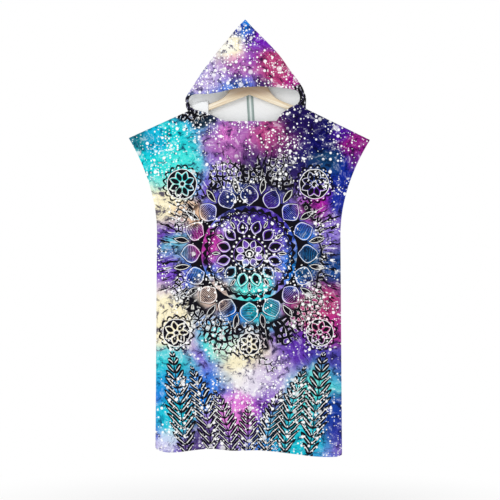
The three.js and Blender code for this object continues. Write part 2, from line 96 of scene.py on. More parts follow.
PANELS = {
    "front_panel": Panel(
        -1,
        13,
        (
            Fold(-215, -215, -238, 40, 7),
            Fold(-120, -445, -150, 44, -6),
            Fold(-40, -565, -62, 46, 6),
            Fold(60, -485, 58, 50, -5),
            Fold(150, -345, 148, 42, 6),
            Fold(216, -217, 228, 36, -6),
        ),
        (
            Crease(-232, -262, -128, -560, 16, 15, 2.4),
            Crease(-262, -300, -196, -520, 12, 11, -1.9),
            Crease(-300, -318, -262, -470, 8, 9, 1.6),
            Crease(236, -266, 148, -520, -14, 14, 2.2),
            Crease(268, -300, 214, -560, -12, 12, -2.0),
            Crease(304, -322, 268, -452, -7, 8, 1.5),
            Crease(-126, -222, -66, -400, 10, 13, -1.7),
            Crease(118, -222, 72, -380, -9, 12, -1.6),
            Crease(-40, -214, -22, -330, 4, 16, 1.2),
            Crease(44, -214, 36, -300, -3, 14, 1.0),
            Crease(-272, -500, -196, -690, 10, 13, 1.8),
            Crease(-274, -640, -226, -842, 7, 10, -1.5),
            Crease(270, -500, 202, -650, -9, 12, 1.8),
            Crease(272, -700, 224, -905, -8, 11, -1.6),
            Crease(-96, -700, -84, -1010, 6, 15, -1.5),
            Crease(12, -820, 4, -1205, -5, 13, 1.9),
            Crease(108, -760, 100, -1120, 5, 15, 1.6),
            Crease(-190, -930, -196, -1228, -6, 12, -2.2),
            Crease(-152, -1100, -153, -1232, 1, 7, -3.2),
            Crease(192, -985, 190, -1242, 4, 11, 2.4),
            Crease(252, -1060, 256, -1246, 2, 9, -2.0),
            Crease(-262, -1080, -266, -1230, -2, 9, 2.0),
        ),
    ),
    "back_panel": Panel(
        1,
        12,
        (
            Fold(-212, -215, -205, 44, -5),
            Fold(-110, -405, -105, 40, 8),
            Fold(0, -525, 8, 52, -5),
            Fold(90, -445, 110, 44, 7),
            Fold(214, -215, 222, 40, 5),
        ),
        (
            Crease(-236, -262, -150, -540, 14, 15, 2.3),
            Crease(-278, -300, -226, -500, 9, 10, -1.8),
            Crease(230, -264, 132, -600, -15, 15, 2.4),
            Crease(284, -304, 240, -500, -8, 10, -1.7),
            Crease(-70, -228, -52, -520, 6, 17, 1.8),
            Crease(66, -226, 30, -470, -8, 15, -1.8),
            Crease(-268, -520, -190, -760, 9, 13, 1.7),
            Crease(268, -560, 206, -730, -8, 12, 1.9),
            Crease(-150, -820, -158, -1226, 6, 13, -2.2),
            Crease(-48, -760, -40, -1218, -6, 14, 2.0),
            Crease(58, -900, 62, -1230, 4, 12, -1.8),
            Crease(168, -860, 176, -1240, -6, 13, 2.2),
            Crease(-250, -1040, -258, -1230, -2, 9, 1.9),
            Crease(262, -1020, 264, -1246, 3, 10, -1.9),
        ),
    ),
}

# The hood's outline from the front, and how far its front and back stand out, by height.
HOOD_OUTLINE = np.array(
    [  # z, left, right, front, back
        (-215, -186, 176, 12.5, 12),
        (-187, -188, 176, 22, 14.5),
        (-165, -196, 175.5, 32, 16.5),
        (-145, -200, 176.5, 40, 18),
        (-127, -193, 174.5, 45, 18.5),
        (-111, -182.5, 168, 46, 18.5),
        (-85, -166, 154, 43, 18),
        (-53, -145, 129, 37, 17),
        (9, -98, 83, 25, 13),
        (57, -58, 36, 14, 9),
        (85, -35, 8, 7.5, 6),
        (102, -20, -6, 4, 4),
        (107.5, -12.7, -12.6, 2.8, 2.8),
    ]
)
LEFT_X, RIGHT_X, FRONT_OUT, BACK_OUT = 1, 2, 3, 4  # columns of the outline
# The hood's courses from the neck seam up to the crown: the places of both face edges, and the heights at
# which a course rounds the left side, reaches the middle of the back and rounds the right side.
HOOD_COURSES = np.array(
    [  # left x, left z, left side z, back z, right side z, right x, right z
        (-72, -206, -175, -209, -168, 84, -205),
        (-98, -200, -175.2, -194, -165, 98, -189),
        (-131, -185, -173.4, -172, -160, 110, -179),
        (-156, -178, -170.5, -148, -153, 126, -168),
        (-177, -170, -161, -122, -145, 143.5, -160),
        (-188.5, -149, -139, -92, -135, 156, -147),
        (-184, -132.5, -126, -62, -120, 155, -126),
        (-165, -126, -101, -30, -95, 142, -113.5),
        (-128, -126, -58, 4, -53, 112, -109),
        (-87, -120, -5, 38, -1, 76, -105.5),
        (-48, -111, 47, 68, 51, 42, -104.3),
        (-20, -107, 84, 89, 83, 22, -104.6),
        (2, -105.3, 107.5, 107.5, 107.5, 2, -105.3),
    ]
)
HOOD_CREASES = (  # on the hood's front, in the same way as a panel's
    Crease(-150, -118, -70, 18, 10, 14, 2.4),
    Crease(-112, -118, -44, 36, 6, 11, -1.9),
    Crease(128, -106, 52, 26, -9, 13, 2.2),
    Crease(92, -104, 26, 44, -6, 10, -1.7),
    Crease(-30, -104, -20, 20, -4, 13, 1.5),
    Crease(38, -104, 14, -6, 3, 11, 1.2),
)
HOOD_FOLD_FEET = ((-194.0, -120.0), (174.0, -120.0))  # where the flat cut folds at the left and right side
HOOD_FLAT_EASED = 150  # length past the side over which the flat cut's back meets its front
HOOD_WAY = -1  # the way round in which the hood's grid is laid


# ---------------------------------------------------------------- small maths


def ease(t):
    t = np.clip(t, 0, 1)
    return t * t * (3 - 2 * t)


def lerp(a, b, t):
    return a + (b - a) * t


def smooth_through(keys, values, at):
    """A smooth curve through values at rising keys, with the slopes of the neighbours' chords."""
    keys, values = np.asarray(keys, float), np.asarray(values, float)
    at = np.asarray(at, float)
    slopes = np.empty_like(values)
    slopes[1:-1] = (values[2:] - values[:-2]) / (keys[2:] - keys[:-2])
    slopes[0] = (values[1] - values[0]) / (keys[1] - keys[0])
    slopes[-1] = (values[-1] - values[-2]) / (keys[-1] - keys[-2])
    i = np.clip(np.searchsorted(keys, at) - 1, 0, len(keys) - 2)
    span = keys[i + 1] - keys[i]
    t = np.clip((at - keys[i]) / span, 0, 1)
    held = (2 * t**3 - 3 * t**2 + 1) * values[i] + (3 * t**2 - 2 * t**3) * values[i + 1]
    return held + span * ((t**3 - 2 * t**2 + t) * slopes[i] + (t**3 - t**2) * slopes[i + 1])


def spread(a, b, count, power=1.0):
    return lerp(a, b, np.linspace(0, 1, count) ** power)


def ripples(x, z, waves):
    """Gentle unevenness: a sum of plane waves, each with its length, direction, phase and height."""
    total = 0
    for length, turn, phase, height in waves:
        along = x * math.cos(turn) + z * math.sin(turn)
        total = total + height * np.sin(2 * math.pi * along / length + phase)
    return total


# ---------------------------------------------------------------- the body's form


def shoulder_line(s, x):
    slope = (s.neck_z - s.tip_z) / abs(s.tip_x - s.neck_x)
    return s.neck_z - slope * s.side * (x - s.neck_x)


def ridge(x):
    """Height of the ridge over the hanger's arms, carried on over the neck."""
    return np.minimum(shoulder_line(LEFT, x), shoulder_line(RIGHT, x))


def neckline(x):
    total = 0
    for s in (LEFT, RIGHT):
        rise = (s.neck_z - NECK_FLOOR_Z) / abs(s.neck_x - NECK_CORNERS_X[s])
        out = s.side * (x - NECK_CORNERS_X[s]) / NECK_CORNER_ROUND
        here = rise * NECK_CORNER_ROUND * np.logaddexp(0, out)
        total = total + np.where(s.side * x >= 0, here, 0)
    return NECK_FLOOR_Z + total


def top(x):
    in_neck = (x > LEFT.neck_x) & (x < RIGHT.neck_x)
    return np.where(in_neck, np.minimum(neckline(x), ridge(x)), ridge(x))


def edge(s, z):
    """The left or right outline at a height: the armhole's curve, then the side seam."""
    down = np.clip((s.tip_z - z) / (s.tip_z - HEM_MEAN_Z), 0, 1)
    side_x = BODY_CENTRE_X + s.side * lerp(UNDERARM_HALF_WIDTH, HEM_HALF_WIDTH, down)
    reach = s.tip_x - BODY_CENTRE_X - s.side * UNDERARM_HALF_WIDTH
    return side_x + reach * (1 - np.clip((s.tip_z - z) / ARMHOLE_CURVE, 0, 1)) ** 2


def crease_out(crease, x, z):
    """How far a crease moves the cloth: a soft ridge or trough along a bowed line, faded at both ends."""
    run_x, run_z = crease.x2 - crease.x1, crease.z2 - crease.z1
    length = math.hypot(run_x, run_z)
    along = ((x - crease.x1) * run_x + (z - crease.z1) * run_z) / length**2
    off = ((x - crease.x1) * run_z - (z - crease.z1) * run_x) / length
    off = off + crease.bow * np.sin(math.pi * np.clip(along, 0, 1))
    half = crease.half * (0.7 + 0.6 * np.clip(along, 0, 1))
    return crease.out * ease(along / 0.35) * ease((1 - along) / 0.4) * np.exp(-((off / half) ** 2))


def from_side(x, z):
    """How far in from the nearer side outline a place is, and how far below that shoulder's tip."""
    is_left = x < BODY_CENTRE_X
    inset = np.where(is_left, x - edge(LEFT, z), edge(RIGHT, z) - x)
    return inset, np.where(is_left, LEFT.tip_z, RIGHT.tip_z) - z


BODY_RIPPLES = ((310, 0.35, 0.4, 0.8), (170, -0.5, 2.1, 0.5), (96, 0.15, 4.0, 0.35), (61, 1.1, 1.3, 0.2))


def panel_depth(panel, x, z):
    """How far a panel's outer face stands from the middle plane."""
    drop = np.maximum(0, ridge(x) - z)
    shrink = ease((np.abs(x) - ROLL_SHRINKS_X[0]) / (ROLL_SHRINKS_X[1] - ROLL_SHRINKS_X[0]))
    radius = lerp(ROLL_OVER_HANGER, ROLL_AT_TIP, shrink)
    over = np.sqrt(np.maximum(0, radius**2 - np.maximum(0, radius - drop) ** 2))
    depth = over + panel.swell * (1 - np.exp(-drop / SWELL_DROP))
    for fold in panel.folds:
        down = np.clip((fold.top_z - z) / (fold.top_z - HEM_MEAN_Z), 0, 1)
        off = (x - lerp(fold.top_x, fold.hem_x, down)) / fold.half
        depth = depth + fold.out * ease(down / FOLDS_GROWN) * np.exp(-(off**2))
    creased = ripples(x * panel.side, z, BODY_RIPPLES)
    for crease in panel.creases:
        creased = creased + crease_out(crease, x, z)
    depth = depth + creased * ease(drop / 40)
    inset, down = from_side(x, z)
    inset, down_armhole = np.clip(inset / SIDE_FOLD, 0, 1), down / ARMHOLE_DROP
    on_armhole = (down_armhole > 0) & (down_armhole < 1)
    gape = np.sin(math.pi * np.clip(down_armhole, 0, 1)).clip(0, 1) ** 0.8
    opened = np.where(on_armhole, ARMHOLE_GAPE * gape, 0)
    kept = opened + (1 - opened) * np.sqrt(1 - (1 - inset) ** 2)
    floor = WALL * ease(np.minimum(down_armhole, 1 - down_armhole) / 0.02)
    return SEAM_GAP / 2 + np.maximum(np.where(on_armhole, floor, 0), depth * kept)


# ---------------------------------------------------------------- meshes


def grid_faces(rows, columns, flip=False):
    numbers = np.arange(rows * columns).reshape(rows, columns)
    a, b = numbers[:-1, :-1].ravel(), numbers[:-1, 1:].ravel()
    c, d = numbers[1:, 1:].ravel(), numbers[1:, :-1].ravel()
    return np.stack((d, c, b, a) if flip else (a, b, c, d), axis=1)


def new_object(name, mesh):
    obj = bpy.data.objects.new(name, mesh)
    bpy.context.scene.collection.objects.link(obj)
    return obj


def cloth_object(name, points, faces, flat, marks):
    """A cloth sheet in metres. flat is each point's place on the flat cut, and marks are its distances to
    the finished edges and seams, by name."""
    mesh = bpy.data.meshes.new(name)
    mesh.from_pydata((points.reshape(-1, 3) * MM).tolist(), [], faces.tolist())
    uv = mesh.uv_layers.new(name="flat")
    corner = np.empty(len(mesh.loops), np.int64)
    mesh.loops.foreach_get("vertex_index", corner)
    uv.data.foreach_set("uv", (flat.reshape(-1, 2) * MM)[corner].ravel())
    for key, values in marks.items():
        layer = mesh.attributes.new(key, "FLOAT", "POINT")
        layer.data.foreach_set("value", (np.asarray(values, float) * MM).ravel())
    mesh.shade_smooth()
    return new_object(name, mesh)


def put_mesh(work, mesh):
    """Puts a worked mesh into a plain one."""
    work.to_mesh(mesh)
    work.free()
    return mesh


def merge_points(obj, distance=0.00002):
    work = bmesh.new()
    work.from_mesh(obj.data)
    bmesh.ops.remove_doubles(work, verts=work.verts, dist=distance)
    bmesh.ops.dissolve_degenerate(work, dist=distance, edges=work.edges)
    put_mesh(work, obj.data)


def settle_modifiers(obj):
    """Turns an object with live modifiers into a plain mesh object."""
    evaluated = obj.evaluated_get(bpy.context.evaluated_depsgraph_get())
    plain = bpy.data.meshes.new_from_object(evaluated)
    obj.modifiers.clear()
    if obj.type == "MESH":
        obj.data = plain
        return obj
    name = obj.name
    bpy.data.objects.remove(obj)
    plain.name = name
    return new_object(name, plain)


def thicken(obj, thickness, reverse=0):
    """Gives a sheet its wall, inside its outer face. Its reverse has the material so many slots on."""
    wall = obj.modifiers.new("wall", "SOLIDIFY")
    wall.thickness = thickness * MM
    wall.offset = -1
    wall.material_offset = reverse
    return settle_modifiers(obj)


# ---------------------------------------------------------------- materials


def colour(code):
    """A colour from its red, green and blue in hexadecimal."""
    parts = [int(code[i : i + 2], 16) / 255 for i in (0, 2, 4)]
    return tuple(c / 12.92 if c <= 0.04045 else ((c + 0.055) / 1.055) ** 2.4 for c in parts) + (1.0,)


class Value:
    """One output of a node, reckoned with like a number."""

    def __init__(self, nodes, socket):
        self.nodes, self.socket = nodes, socket

    def __add__(self, other):
        return self.nodes.maths("ADD", self, other)

    def __sub__(self, other):
        return self.nodes.maths("SUBTRACT", self, other)

    def __rsub__(self, other):
        return self.nodes.maths("SUBTRACT", other, self)

    def __mul__(self, other):
        return self.nodes.maths("MULTIPLY", self, other)

    def __truediv__(self, other):
        return self.nodes.maths("DIVIDE", self, other)

    def __rtruediv__(self, other):
        return self.nodes.maths("DIVIDE", other, self)

    def __abs__(self):
        return self.nodes.maths("ABSOLUTE", self)

    __radd__ = __add__
    __rmul__ = __mul__

    def least(self, other):
        return self.nodes.maths("MINIMUM", self, other)

    def most(self, other):
        return self.nodes.maths("MAXIMUM", self, other)

    def part(self):
        return self.nodes.maths("FRACT", self)

    def output(self, out):
        """Another output of the same node."""
        return Value(self.nodes, self.socket.node.outputs[out])


class Nodes:
    """The nodes of one tree."""

    def __init__(self, tree, output):
        tree.nodes.clear()
        self.tree, self.output = tree, tree.nodes.new(output)

    def add(self, kind, settings=None, sockets=None, out=0):
        """One output of a new node. A kind without its family's name is a shader's."""
        node = self.tree.nodes.new(kind if "Node" in kind else "ShaderNode" + kind)
        for key, value in (settings or {}).items():
            setattr(node, key, value)
        for key, value in (sockets or {}).items():
            if isinstance(value, Value):
                self.tree.links.new(value.socket, node.inputs[key])
            else:
                node.inputs[key].default_value = value
        return Value(self, node.outputs[out])

    def end(self, name, value):
        self.tree.links.new(value.socket, self.output.inputs[name])

    def maths(self, operation, *values):
        return self.add("Math", {"operation": operation}, dict(enumerate(values)))

    def vector(self, operation, *values, out=0):
        return self.add("VectorMath", {"operation": operation}, dict(enumerate(values)), out)

    def distance(self, at, across, up):
        return self.vector("DISTANCE", at, (across, up, 0.0), out=1)

    def point(self, x, y, z=0.0):
        return self.add("CombineXYZ", sockets={0: x, 1: y, 2: z})

    def parts(self, vector):
        x = self.add("SeparateXYZ", sockets={0: vector})
        return x, x.output(1), x.output(2)

    def mix(self, factor, a, b, blend="MIX"):
        return self.add("Mix", {"data_type": "RGBA", "blend_type": blend}, {0: factor, 6: a, 7: b}, out=2)

    def rising(self, value, low, high, to_low=0.0, to_high=1.0):
        """Smoothly from to_low at low to to_high at high, and held beyond them."""
        settings = {"interpolation_type": "SMOOTHSTEP"}
        return self.add("MapRange", settings, {0: value, 1: low, 2: high, 3: to_low, 4: to_high})

    def noise(self, at, scale, detail=2.0, rough=0.5, dimensions="2D", out=0):
        sockets = {"Vector": at, "Scale": scale, "Detail": detail, "Roughness": rough}
        return self.add("TexNoise", {"noise_dimensions": dimensions}, sockets, out)

    def wandered(self, at, scale, detail, rough, reach):
        """Places moved about unevenly, by up to half of reach each way."""
        wander = self.vector("SUBTRACT", self.noise(at, scale, detail, rough, out=1), (0.5, 0.5, 0.5))
        return self.vector("MULTIPLY_ADD", wander, (reach, reach, 0.0), at)

    def cells(self, at, scale, feature="F1", jitter=1.0):
        sockets = {"Vector": at, "Scale": scale, "Randomness": jitter}
        return self.add("TexVoronoi", {"voronoi_dimensions": "2D", "feature": feature}, sockets)

    def bump(self, height, strength, distance):
        return self.add("Bump", sockets={"Height": height, "Strength": strength, "Distance": distance})


class Finish(Nodes):
    """The nodes of one material."""

    def __init__(self, name):
        self.material = bpy.data.materials.new(name)
        self.material.use_nodes = True
        super().__init__(self.material.node_tree, "ShaderNodeOutputMaterial")

    def flat(self):
        """Places on the flat cut of the cloth, in metres."""
        return self.add("UVMap", {"uv_map": "flat"})

    def here(self):
        """Places on the object itself, in metres."""
        return self.add("TexCoord", out=3)

    def mark(self, name):
        return self.add("Attribute", {"attribute_name": name}, out=2)

    def done(self, sockets):
        self.end("Surface", self.add("BsdfPrincipled", sockets=sockets))
        return self.material


TURQUOISE = colour("0FDCE0")
AQUA = colour("6AF0E4")
TEAL = colour("0C6480")
SKY = colour("0E93E6")
ROYAL = colour("1238B2")
NAVY = colour("100E78")
INDIGO = colour("23106A")
VIOLET = colour("6418B8")
PURPLE = colour("9128CC")
MAGENTA = colour("D020A8")
ROSE = colour("CC4A8C")
PINK = colour("F596E2")
ORCHID = colour("C47AC0")
LILAC = colour("AE8CDC")
MAUVE = colour("CDBBE2")
CREAM = colour("F8F1D6")
PEACH = colour("F0CBA2")
INK = colour("0B0914")
WHITE = colour("FFFFFF")

# The washes of the print, laid one over the other: across and up the flat cloth in metres, radius, colour
# and strength.
WASHES = (
    (-0.28, -0.31, 0.20, TURQUOISE, 1.0),
    (-0.21, -0.37, 0.10, AQUA, 0.55),
    (-0.37, -0.26, 0.07, TEAL, 0.7),
    (-0.30, -0.27, 0.05, SKY, 0.3),
    (-0.04, -0.27, 0.14, ORCHID, 0.9),
    (-0.07, -0.25, 0.04, PINK, 0.6),
    (0.09, -0.25, 0.11, ROSE, 0.85),
    (0.28, -0.28, 0.22, NAVY, 1.0),
    (0.30, -0.43, 0.16, ROYAL, 0.95),
    (0.34, -0.28, 0.09, MAGENTA, 0.6),
    (0.29, -0.23, 0.06, VIOLET, 0.8),
    (0.23, -0.34, 0.06, TEAL, 0.6),
    (0.02, -0.37, 0.10, INDIGO, 0.8),
    (0.11, -0.36, 0.11, INDIGO, 0.85),
    (0.215, -0.44, 0.055, PURPLE, 0.8),
    (-0.10, -0.40, 0.08, PURPLE, 0.5),
    (-0.28, -0.47, 0.11, CREAM, 1.0),
    (-0.19, -0.50, 0.08, PEACH, 0.9),
    (-0.28, -0.59, 0.10, VIOLET, 0.7),
    (-0.22, -0.62, 0.07, AQUA, 0.6),
    (-0.25, -0.68, 0.09, PURPLE, 0.75),
    (-0.14, -0.60, 0.08, MAGENTA, 0.8),
    (0.04, -0.52, 0.14, VIOLET, 0.8),
    (-0.03, -0.46, 0.09, INDIGO, 0.6),
    (0.20, -0.49, 0.08, MAGENTA, 0.7),
    (0.26, -0.56, 0.10, LILAC, 0.85),
    (0.25, -0.68, 0.11, INDIGO, 0.65),
    (0.17, -0.63, 0.06, TEAL, 0.6),
    (0.00, -0.72, 0.10, AQUA, 0.9),
    (0.05, -0.80, 0.09, TURQUOISE, 0.8),
    (-0.12, -0.75, 0.09, PEACH, 0.75),
    (-0.26, -0.83, 0.15, CREAM, 1.0),
    (0.21, -0.80, 0.13, ROSE, 0.95),
    (0.27, -0.86, 0.07, MAGENTA, 0.6),
    (-0.09, -0.89, 0.08, AQUA, 0.85),
    (-0.01, -0.95, 0.13, CREAM, 1.0),
    (0.15, -0.92, 0.10, VIOLET, 0.8),
    (0.25, -0.95, 0.08, ROYAL, 0.7),
    (0.05, -1.03, 0.12, MAUVE, 0.9),
    (-0.01, -1.00, 0.07, WHITE, 0.6),
    (-0.25, -0.99, 0.11, TURQUOISE, 0.9),
    (-0.23, -1.07, 0.12, SKY, 0.7),
    (-0.22, -1.13, 0.09, TURQUOISE, 0.8),
    (0.21, -1.06, 0.13, AQUA, 0.9),
    (0.02, -1.11, 0.08, PURPLE, 0.85),
    (-0.04, -1.10, 0.09, PINK, 0.85),
    (-0.14, -1.22, 0.09, INDIGO, 0.6),
    (0.14, -1.18, 0.14, TURQUOISE, 0.85),
    (0.30, -1.14, 0.12, ROYAL, 0.9),
    (-0.26, -1.19, 0.05, WHITE, 0.6),
    (0.05, -1.22, 0.08, SKY, 0.6),
    (-0.15, -0.05, 0.12, MAUVE, 0.95),
    (-0.18, -0.03, 0.06, SKY, 0.40),
    (-0.02, -0.03, 0.09, ORCHID, 0.9),
    (-0.04, -0.01, 0.04, PINK, 0.6),
    (0.01, 0.00, 0.06, PURPLE, 0.5),
    (0.09, -0.04, 0.10, ROSE, 0.95),
    (0.16, -0.09, 0.07, MAGENTA, 0.9),
    (0.05, 0.05, 0.06, PURPLE, 1.0),
    (-0.06, 0.03, 0.08, CREAM, 1.0),
    (-0.07, 0.025, 0.05, WHITE, 0.6),
    (-0.03, 0.08, 0.035, ROYAL, 0.95),
    (0.04, -0.10, 0.035, INDIGO, 0.8),
    (-0.04, -0.10, 0.03, INDIGO, 0.5),
    (-0.20, -0.15, 0.05, TEAL, 0.9),
    (0.19, -0.13, 0.06, NAVY, 0.9),
    (0.15, -0.18, 0.06, INDIGO, 0.9),
    (-0.15, -0.19, 0.05, TEAL, 0.7),
    (-0.20, -0.165, 0.055, NAVY, 0.9),
    (-0.14, -0.195, 0.05, INK, 0.75),
    (0.18, -0.11, 0.04, INK, 0.8),
    (0.145, -0.20, 0.085, INDIGO, 0.95),
    (-0.29, 0.10, 0.12, TURQUOISE, 0.9),
    (-0.36, -0.02, 0.11, VIOLET, 0.9),
    (-0.44, 0.08, 0.10, ROSE, 0.9),
    (-0.22, 0.18, 0.09, ROYAL, 0.9),
    (0.28, 0.08, 0.12, MAGENTA, 0.8),
    (0.34, -0.04, 0.10, ROYAL, 0.9),
    (0.40, 0.10, 0.10, AQUA, 0.9),
    (0.20, 0.16, 0.09, CREAM, 0.9),
)


def lay_washes(n, at):
    """Soft pools of colour with wandering edges, one over the other."""
    at = n.wandered(at, 6.5, 4.0, 0.62, 0.10)
    grain = n.noise(at, 42.0, 5.0, 0.75)
    laid = n.mix(n.rising(n.noise(at, 4.0, 2.0), 0.38, 0.62), LILAC, SKY)
    for across, up, radius, wash, strength in WASHES:
        amount = n.rising(n.distance(at, across, up), radius, radius * 0.4, 0.0, strength)
        laid = n.mix(amount, laid, wash)
    laid = n.mix(n.rising(grain, 0.54, 0.70, 0.0, 0.45), laid, WHITE)
    return n.mix(n.rising(grain, 0.50, 0.33, 0.0, 0.85), laid, INDIGO, "MULTIPLY")


EDGE_SOFT = 0.0005  # half the width over which a drawn edge fades


def inside(distance, soft=EDGE_SOFT):
    """1 where a distance is below 0, and 0 beyond it."""
    return distance.nodes.rising(distance, soft, -soft)


def stroke(distance, half):
    """1 within half a stroke's width of where a distance is 0."""
    return distance.nodes.rising(abs(distance), half + EDGE_SOFT, half - EDGE_SOFT)


def between(distance, low, high):
    return stroke(distance - (low + high) / 2, (high - low) / 2)


class Round:
    """A place in a ring pattern about a centre: how far out, and how far round."""

    def __init__(self, at, across, up):
        self.n = at.nodes
        x, y, _ = self.n.parts(self.n.vector("SUBTRACT", at, (across, up, 0.0)))
        self.out = self.n.vector("LENGTH", self.n.point(x, y), out=1)
        self.turn = self.n.maths("ARCTAN2", y, x) * (0.5 / math.pi)

    def shared(self, count, shift=0.0):
        """How far from the middle of a share of the ring: 0, to 0.5 at the border with the next."""
        return abs((self.turn * count + shift).part() - 0.5)

    def petals(self, count, inner, outer, half, shift=0.0):
        """Below 0 inside a ring of pointed petals, in metres."""
        along = (self.out - inner) / (outer - inner)
        arc = self.shared(count, shift) * self.out * (2 * math.pi / count)
        return arc - along * (1.0 - along) * (4 * half)

    def beads(self, count, ring, radius, shift=0.0):
        arc = self.shared(count, shift) * (2 * math.pi * ring / count)
        return self.n.vector("LENGTH", self.n.point(arc, self.out - ring), out=1) - radius

    def scallops(self, count, ring, rise):
        share = self.shared(count)
        return self.out - ring - rise * (1.0 - share * share * 4.0)

    def points(self, count, ring, rise):
        return self.out - ring - self.shared(count) * (2 * rise)


class Cover:
    """Where one colour of the drawing lies, gathered as it is drawn."""

    def __init__(self):
        self.amount = None

    def add(self, amount):
        self.amount = amount if self.amount is None else self.amount.most(amount)

    def fill(self, distance):
        self.add(inside(distance))

    def rule(self, distance, half):
        self.add(stroke(distance, half))


class Pen:
    """Black ink and white lines."""

    def __init__(self):
        self.ink, self.white = Cover(), Cover()

    def clear(self, amount):
        """Takes the drawing away again where amount is 1."""
        bare = 1.0 - amount
        for cover in (self.ink, self.white):
            cover.amount = cover.amount * bare


def draw_mandala(pen, r, size):
    """A large ring pattern of beads, lotus petals, scallops, a zigzag and pointed leaves."""
    ink, white = pen.ink, pen.white
    ink.fill(r.out - 0.016 * size)
    white.rule(r.out - 0.012 * size, 0.0012)
    white.fill(r.out - 0.005 * size)
    petal = r.petals(8, 0.018 * size, 0.050 * size, 0.0125 * size)
    ink.add(between(r.out, 0.016 * size, 0.052 * size) * inside(0.0 - petal))
    white.rule(petal + 0.0016, 0.0012)
    ink.add(between(r.out, 0.054 * size, 0.066 * size))
    white.fill(r.beads(22, 0.060 * size, 0.0036 * size))
    lotus = r.petals(12, 0.066 * size, 0.118 * size, 0.0215 * size)
    ink.add(between(r.out, 0.066 * size, 0.098 * size) * inside(0.0 - lotus))
    ink.rule(lotus, 0.0014)
    white.rule(lotus + 0.0040, 0.0010)
    ink.fill(lotus + 0.0092)
    leaf = r.petals(12, 0.096 * size, 0.132 * size, 0.0075 * size, 0.5)
    ink.fill(leaf)
    white.rule(leaf + 0.0030, 0.0009)
    scallop = r.scallops(24, 0.128 * size, 0.012 * size)
    ink.rule(scallop, 0.0016)
    ink.rule(scallop - 0.007 * size, 0.0030)
    white.fill(r.beads(24, 0.131 * size, 0.0024 * size))
    zigzag = r.points(34, 0.150 * size, 0.011 * size)
    ink.add(inside(zigzag) * between(r.out, 0.146 * size, 0.162 * size))
    ink.rule(r.out - 0.166 * size, 0.0012)
    great = r.petals(16, 0.166 * size, 0.238 * size, 0.0345 * size, 0.5)
    ink.add(between(r.out, 0.166 * size, 0.206 * size) * inside(0.0 - great))
    ink.rule(great, 0.0016)
    white.rule(great + 0.0040, 0.0011)
    ribs = (r.out * (1.0 / (0.0052 * size))).part() - 0.5
    ink.add(inside(great + 0.0085) * r.n.rising(abs(ribs), 0.30, 0.20))
    tip = r.petals(16, 0.206 * size, 0.268 * size, 0.0125 * size)
    ink.fill(tip)
    white.rule(tip + 0.0036, 0.0009)
    ink.fill(r.beads(32, 0.252 * size, 0.0034 * size, 0.5))


def draw_rosette(pen, at, across, up, size, count):
    """A small round flower with a beaded rim."""
    r = Round(at, across, up)
    pen.clear(inside(r.out - 0.053 * size, 0.002))
    petal = r.petals(count, 0.006 * size, 0.036 * size, 0.0105 * size)
    pen.ink.add(inside(r.out - 0.040 * size) * inside(0.0 - petal))
    pen.white.rule(petal, 0.0011)
    pen.ink.fill(petal + 0.0044)
    pen.white.rule(r.out - 0.040 * size, 0.0011)
    pen.ink.rule(r.scallops(2 * count, 0.043 * size, 0.008 * size), 0.0030)
    pen.white.fill(r.beads(2 * count, 0.0455 * size, 0.0019 * size))


def draw_spray(pen, x, y, foot_x, foot_y, height, lean, bend, leaf, step):
    """A spray of paired leaves growing up from its foot."""
    n = x.nodes
    up = (y - foot_y) * (1.0 / height)
    stem = x - foot_x - up * lean - up * up * bend
    width = up * (1.0 - up) * (4 * leaf) + 0.0012
    away = abs(stem)
    along = away / width
    slanted = abs(((y - away * 1.1) * (1.0 / step)).part() - 0.5)
    blade = slanted - along * (1.0 - along) * 1.55 - 0.03
    on = inside(away - width) * inside(abs(up - 0.5) - 0.5, 0.004)
    pen.ink.add(on * n.rising(blade, 0.09, 0.03))
    veins = on * n.rising(slanted, 0.085, 0.045)
    pen.white.add(veins * n.rising(along, 0.10, 0.22) * n.rising(along, 0.9, 0.7))
    pen.ink.add(n.rising(away, 0.0021, 0.0012) * inside(abs(up - 0.45) - 0.5, 0.004))


def draw_lace(pen, at, cover, weight):
    """A net of ink round loops with white rims, heavier and lighter by weight, where cover allows."""
    n = at.nodes
    far = n.cells(at, 58.0, "DISTANCE_TO_EDGE", 0.95) - weight
    pen.ink.add(n.rising(far, 0.05, 0.0) * cover)
    pen.white.add(n.rising(abs(far - 0.07), 0.04, 0.015) * cover * 0.7)


def draw_rays(pen, r):
    """Fine strokes of ink that stream out from the mandala and die away."""
    n = r.n
    strokes = n.noise(n.point(r.turn * 150.0, r.out * 16.0), 1.0, 3.0, 0.7)
    drawn = n.rising(strokes - n.rising(r.out, 0.20, 0.36, 0.0, 0.16), 0.50, 0.54)
    pen.ink.add(drawn * n.rising(r.out, 0.20, 0.215) * n.rising(r.out, 0.37, 0.30))
    light = n.noise(n.point(r.turn * 240.0 + 7.0, r.out * 18.0), 1.0, 2.0, 0.6)
    drawn = n.rising(light, 0.67, 0.69)
    pen.white.add(drawn * n.rising(r.out, 0.22, 0.24) * n.rising(r.out, 0.31, 0.27) * 0.7)


MIDDLE_LINE = -0.004  # where the drawing is mirrored
MANDALA_MIDDLE = (0.0, -0.62)
MANDALA_SIZE = 0.90
# The sprays, on both sides of the middle line: across and up to the foot, height, lean, bend, half the
# width over the leaves, and the step from leaf to leaf.
SPRAYS = (
    (0.000, -1.262, 0.17, 0.000, 0.000, 0.036, 0.019),
    (0.050, -1.268, 0.23, 0.010, 0.045, 0.038, 0.020),
    (0.112, -1.264, 0.30, 0.010, 0.055, 0.042, 0.023),
    (0.185, -1.272, 0.36, 0.050, 0.002, 0.044, 0.025),
)


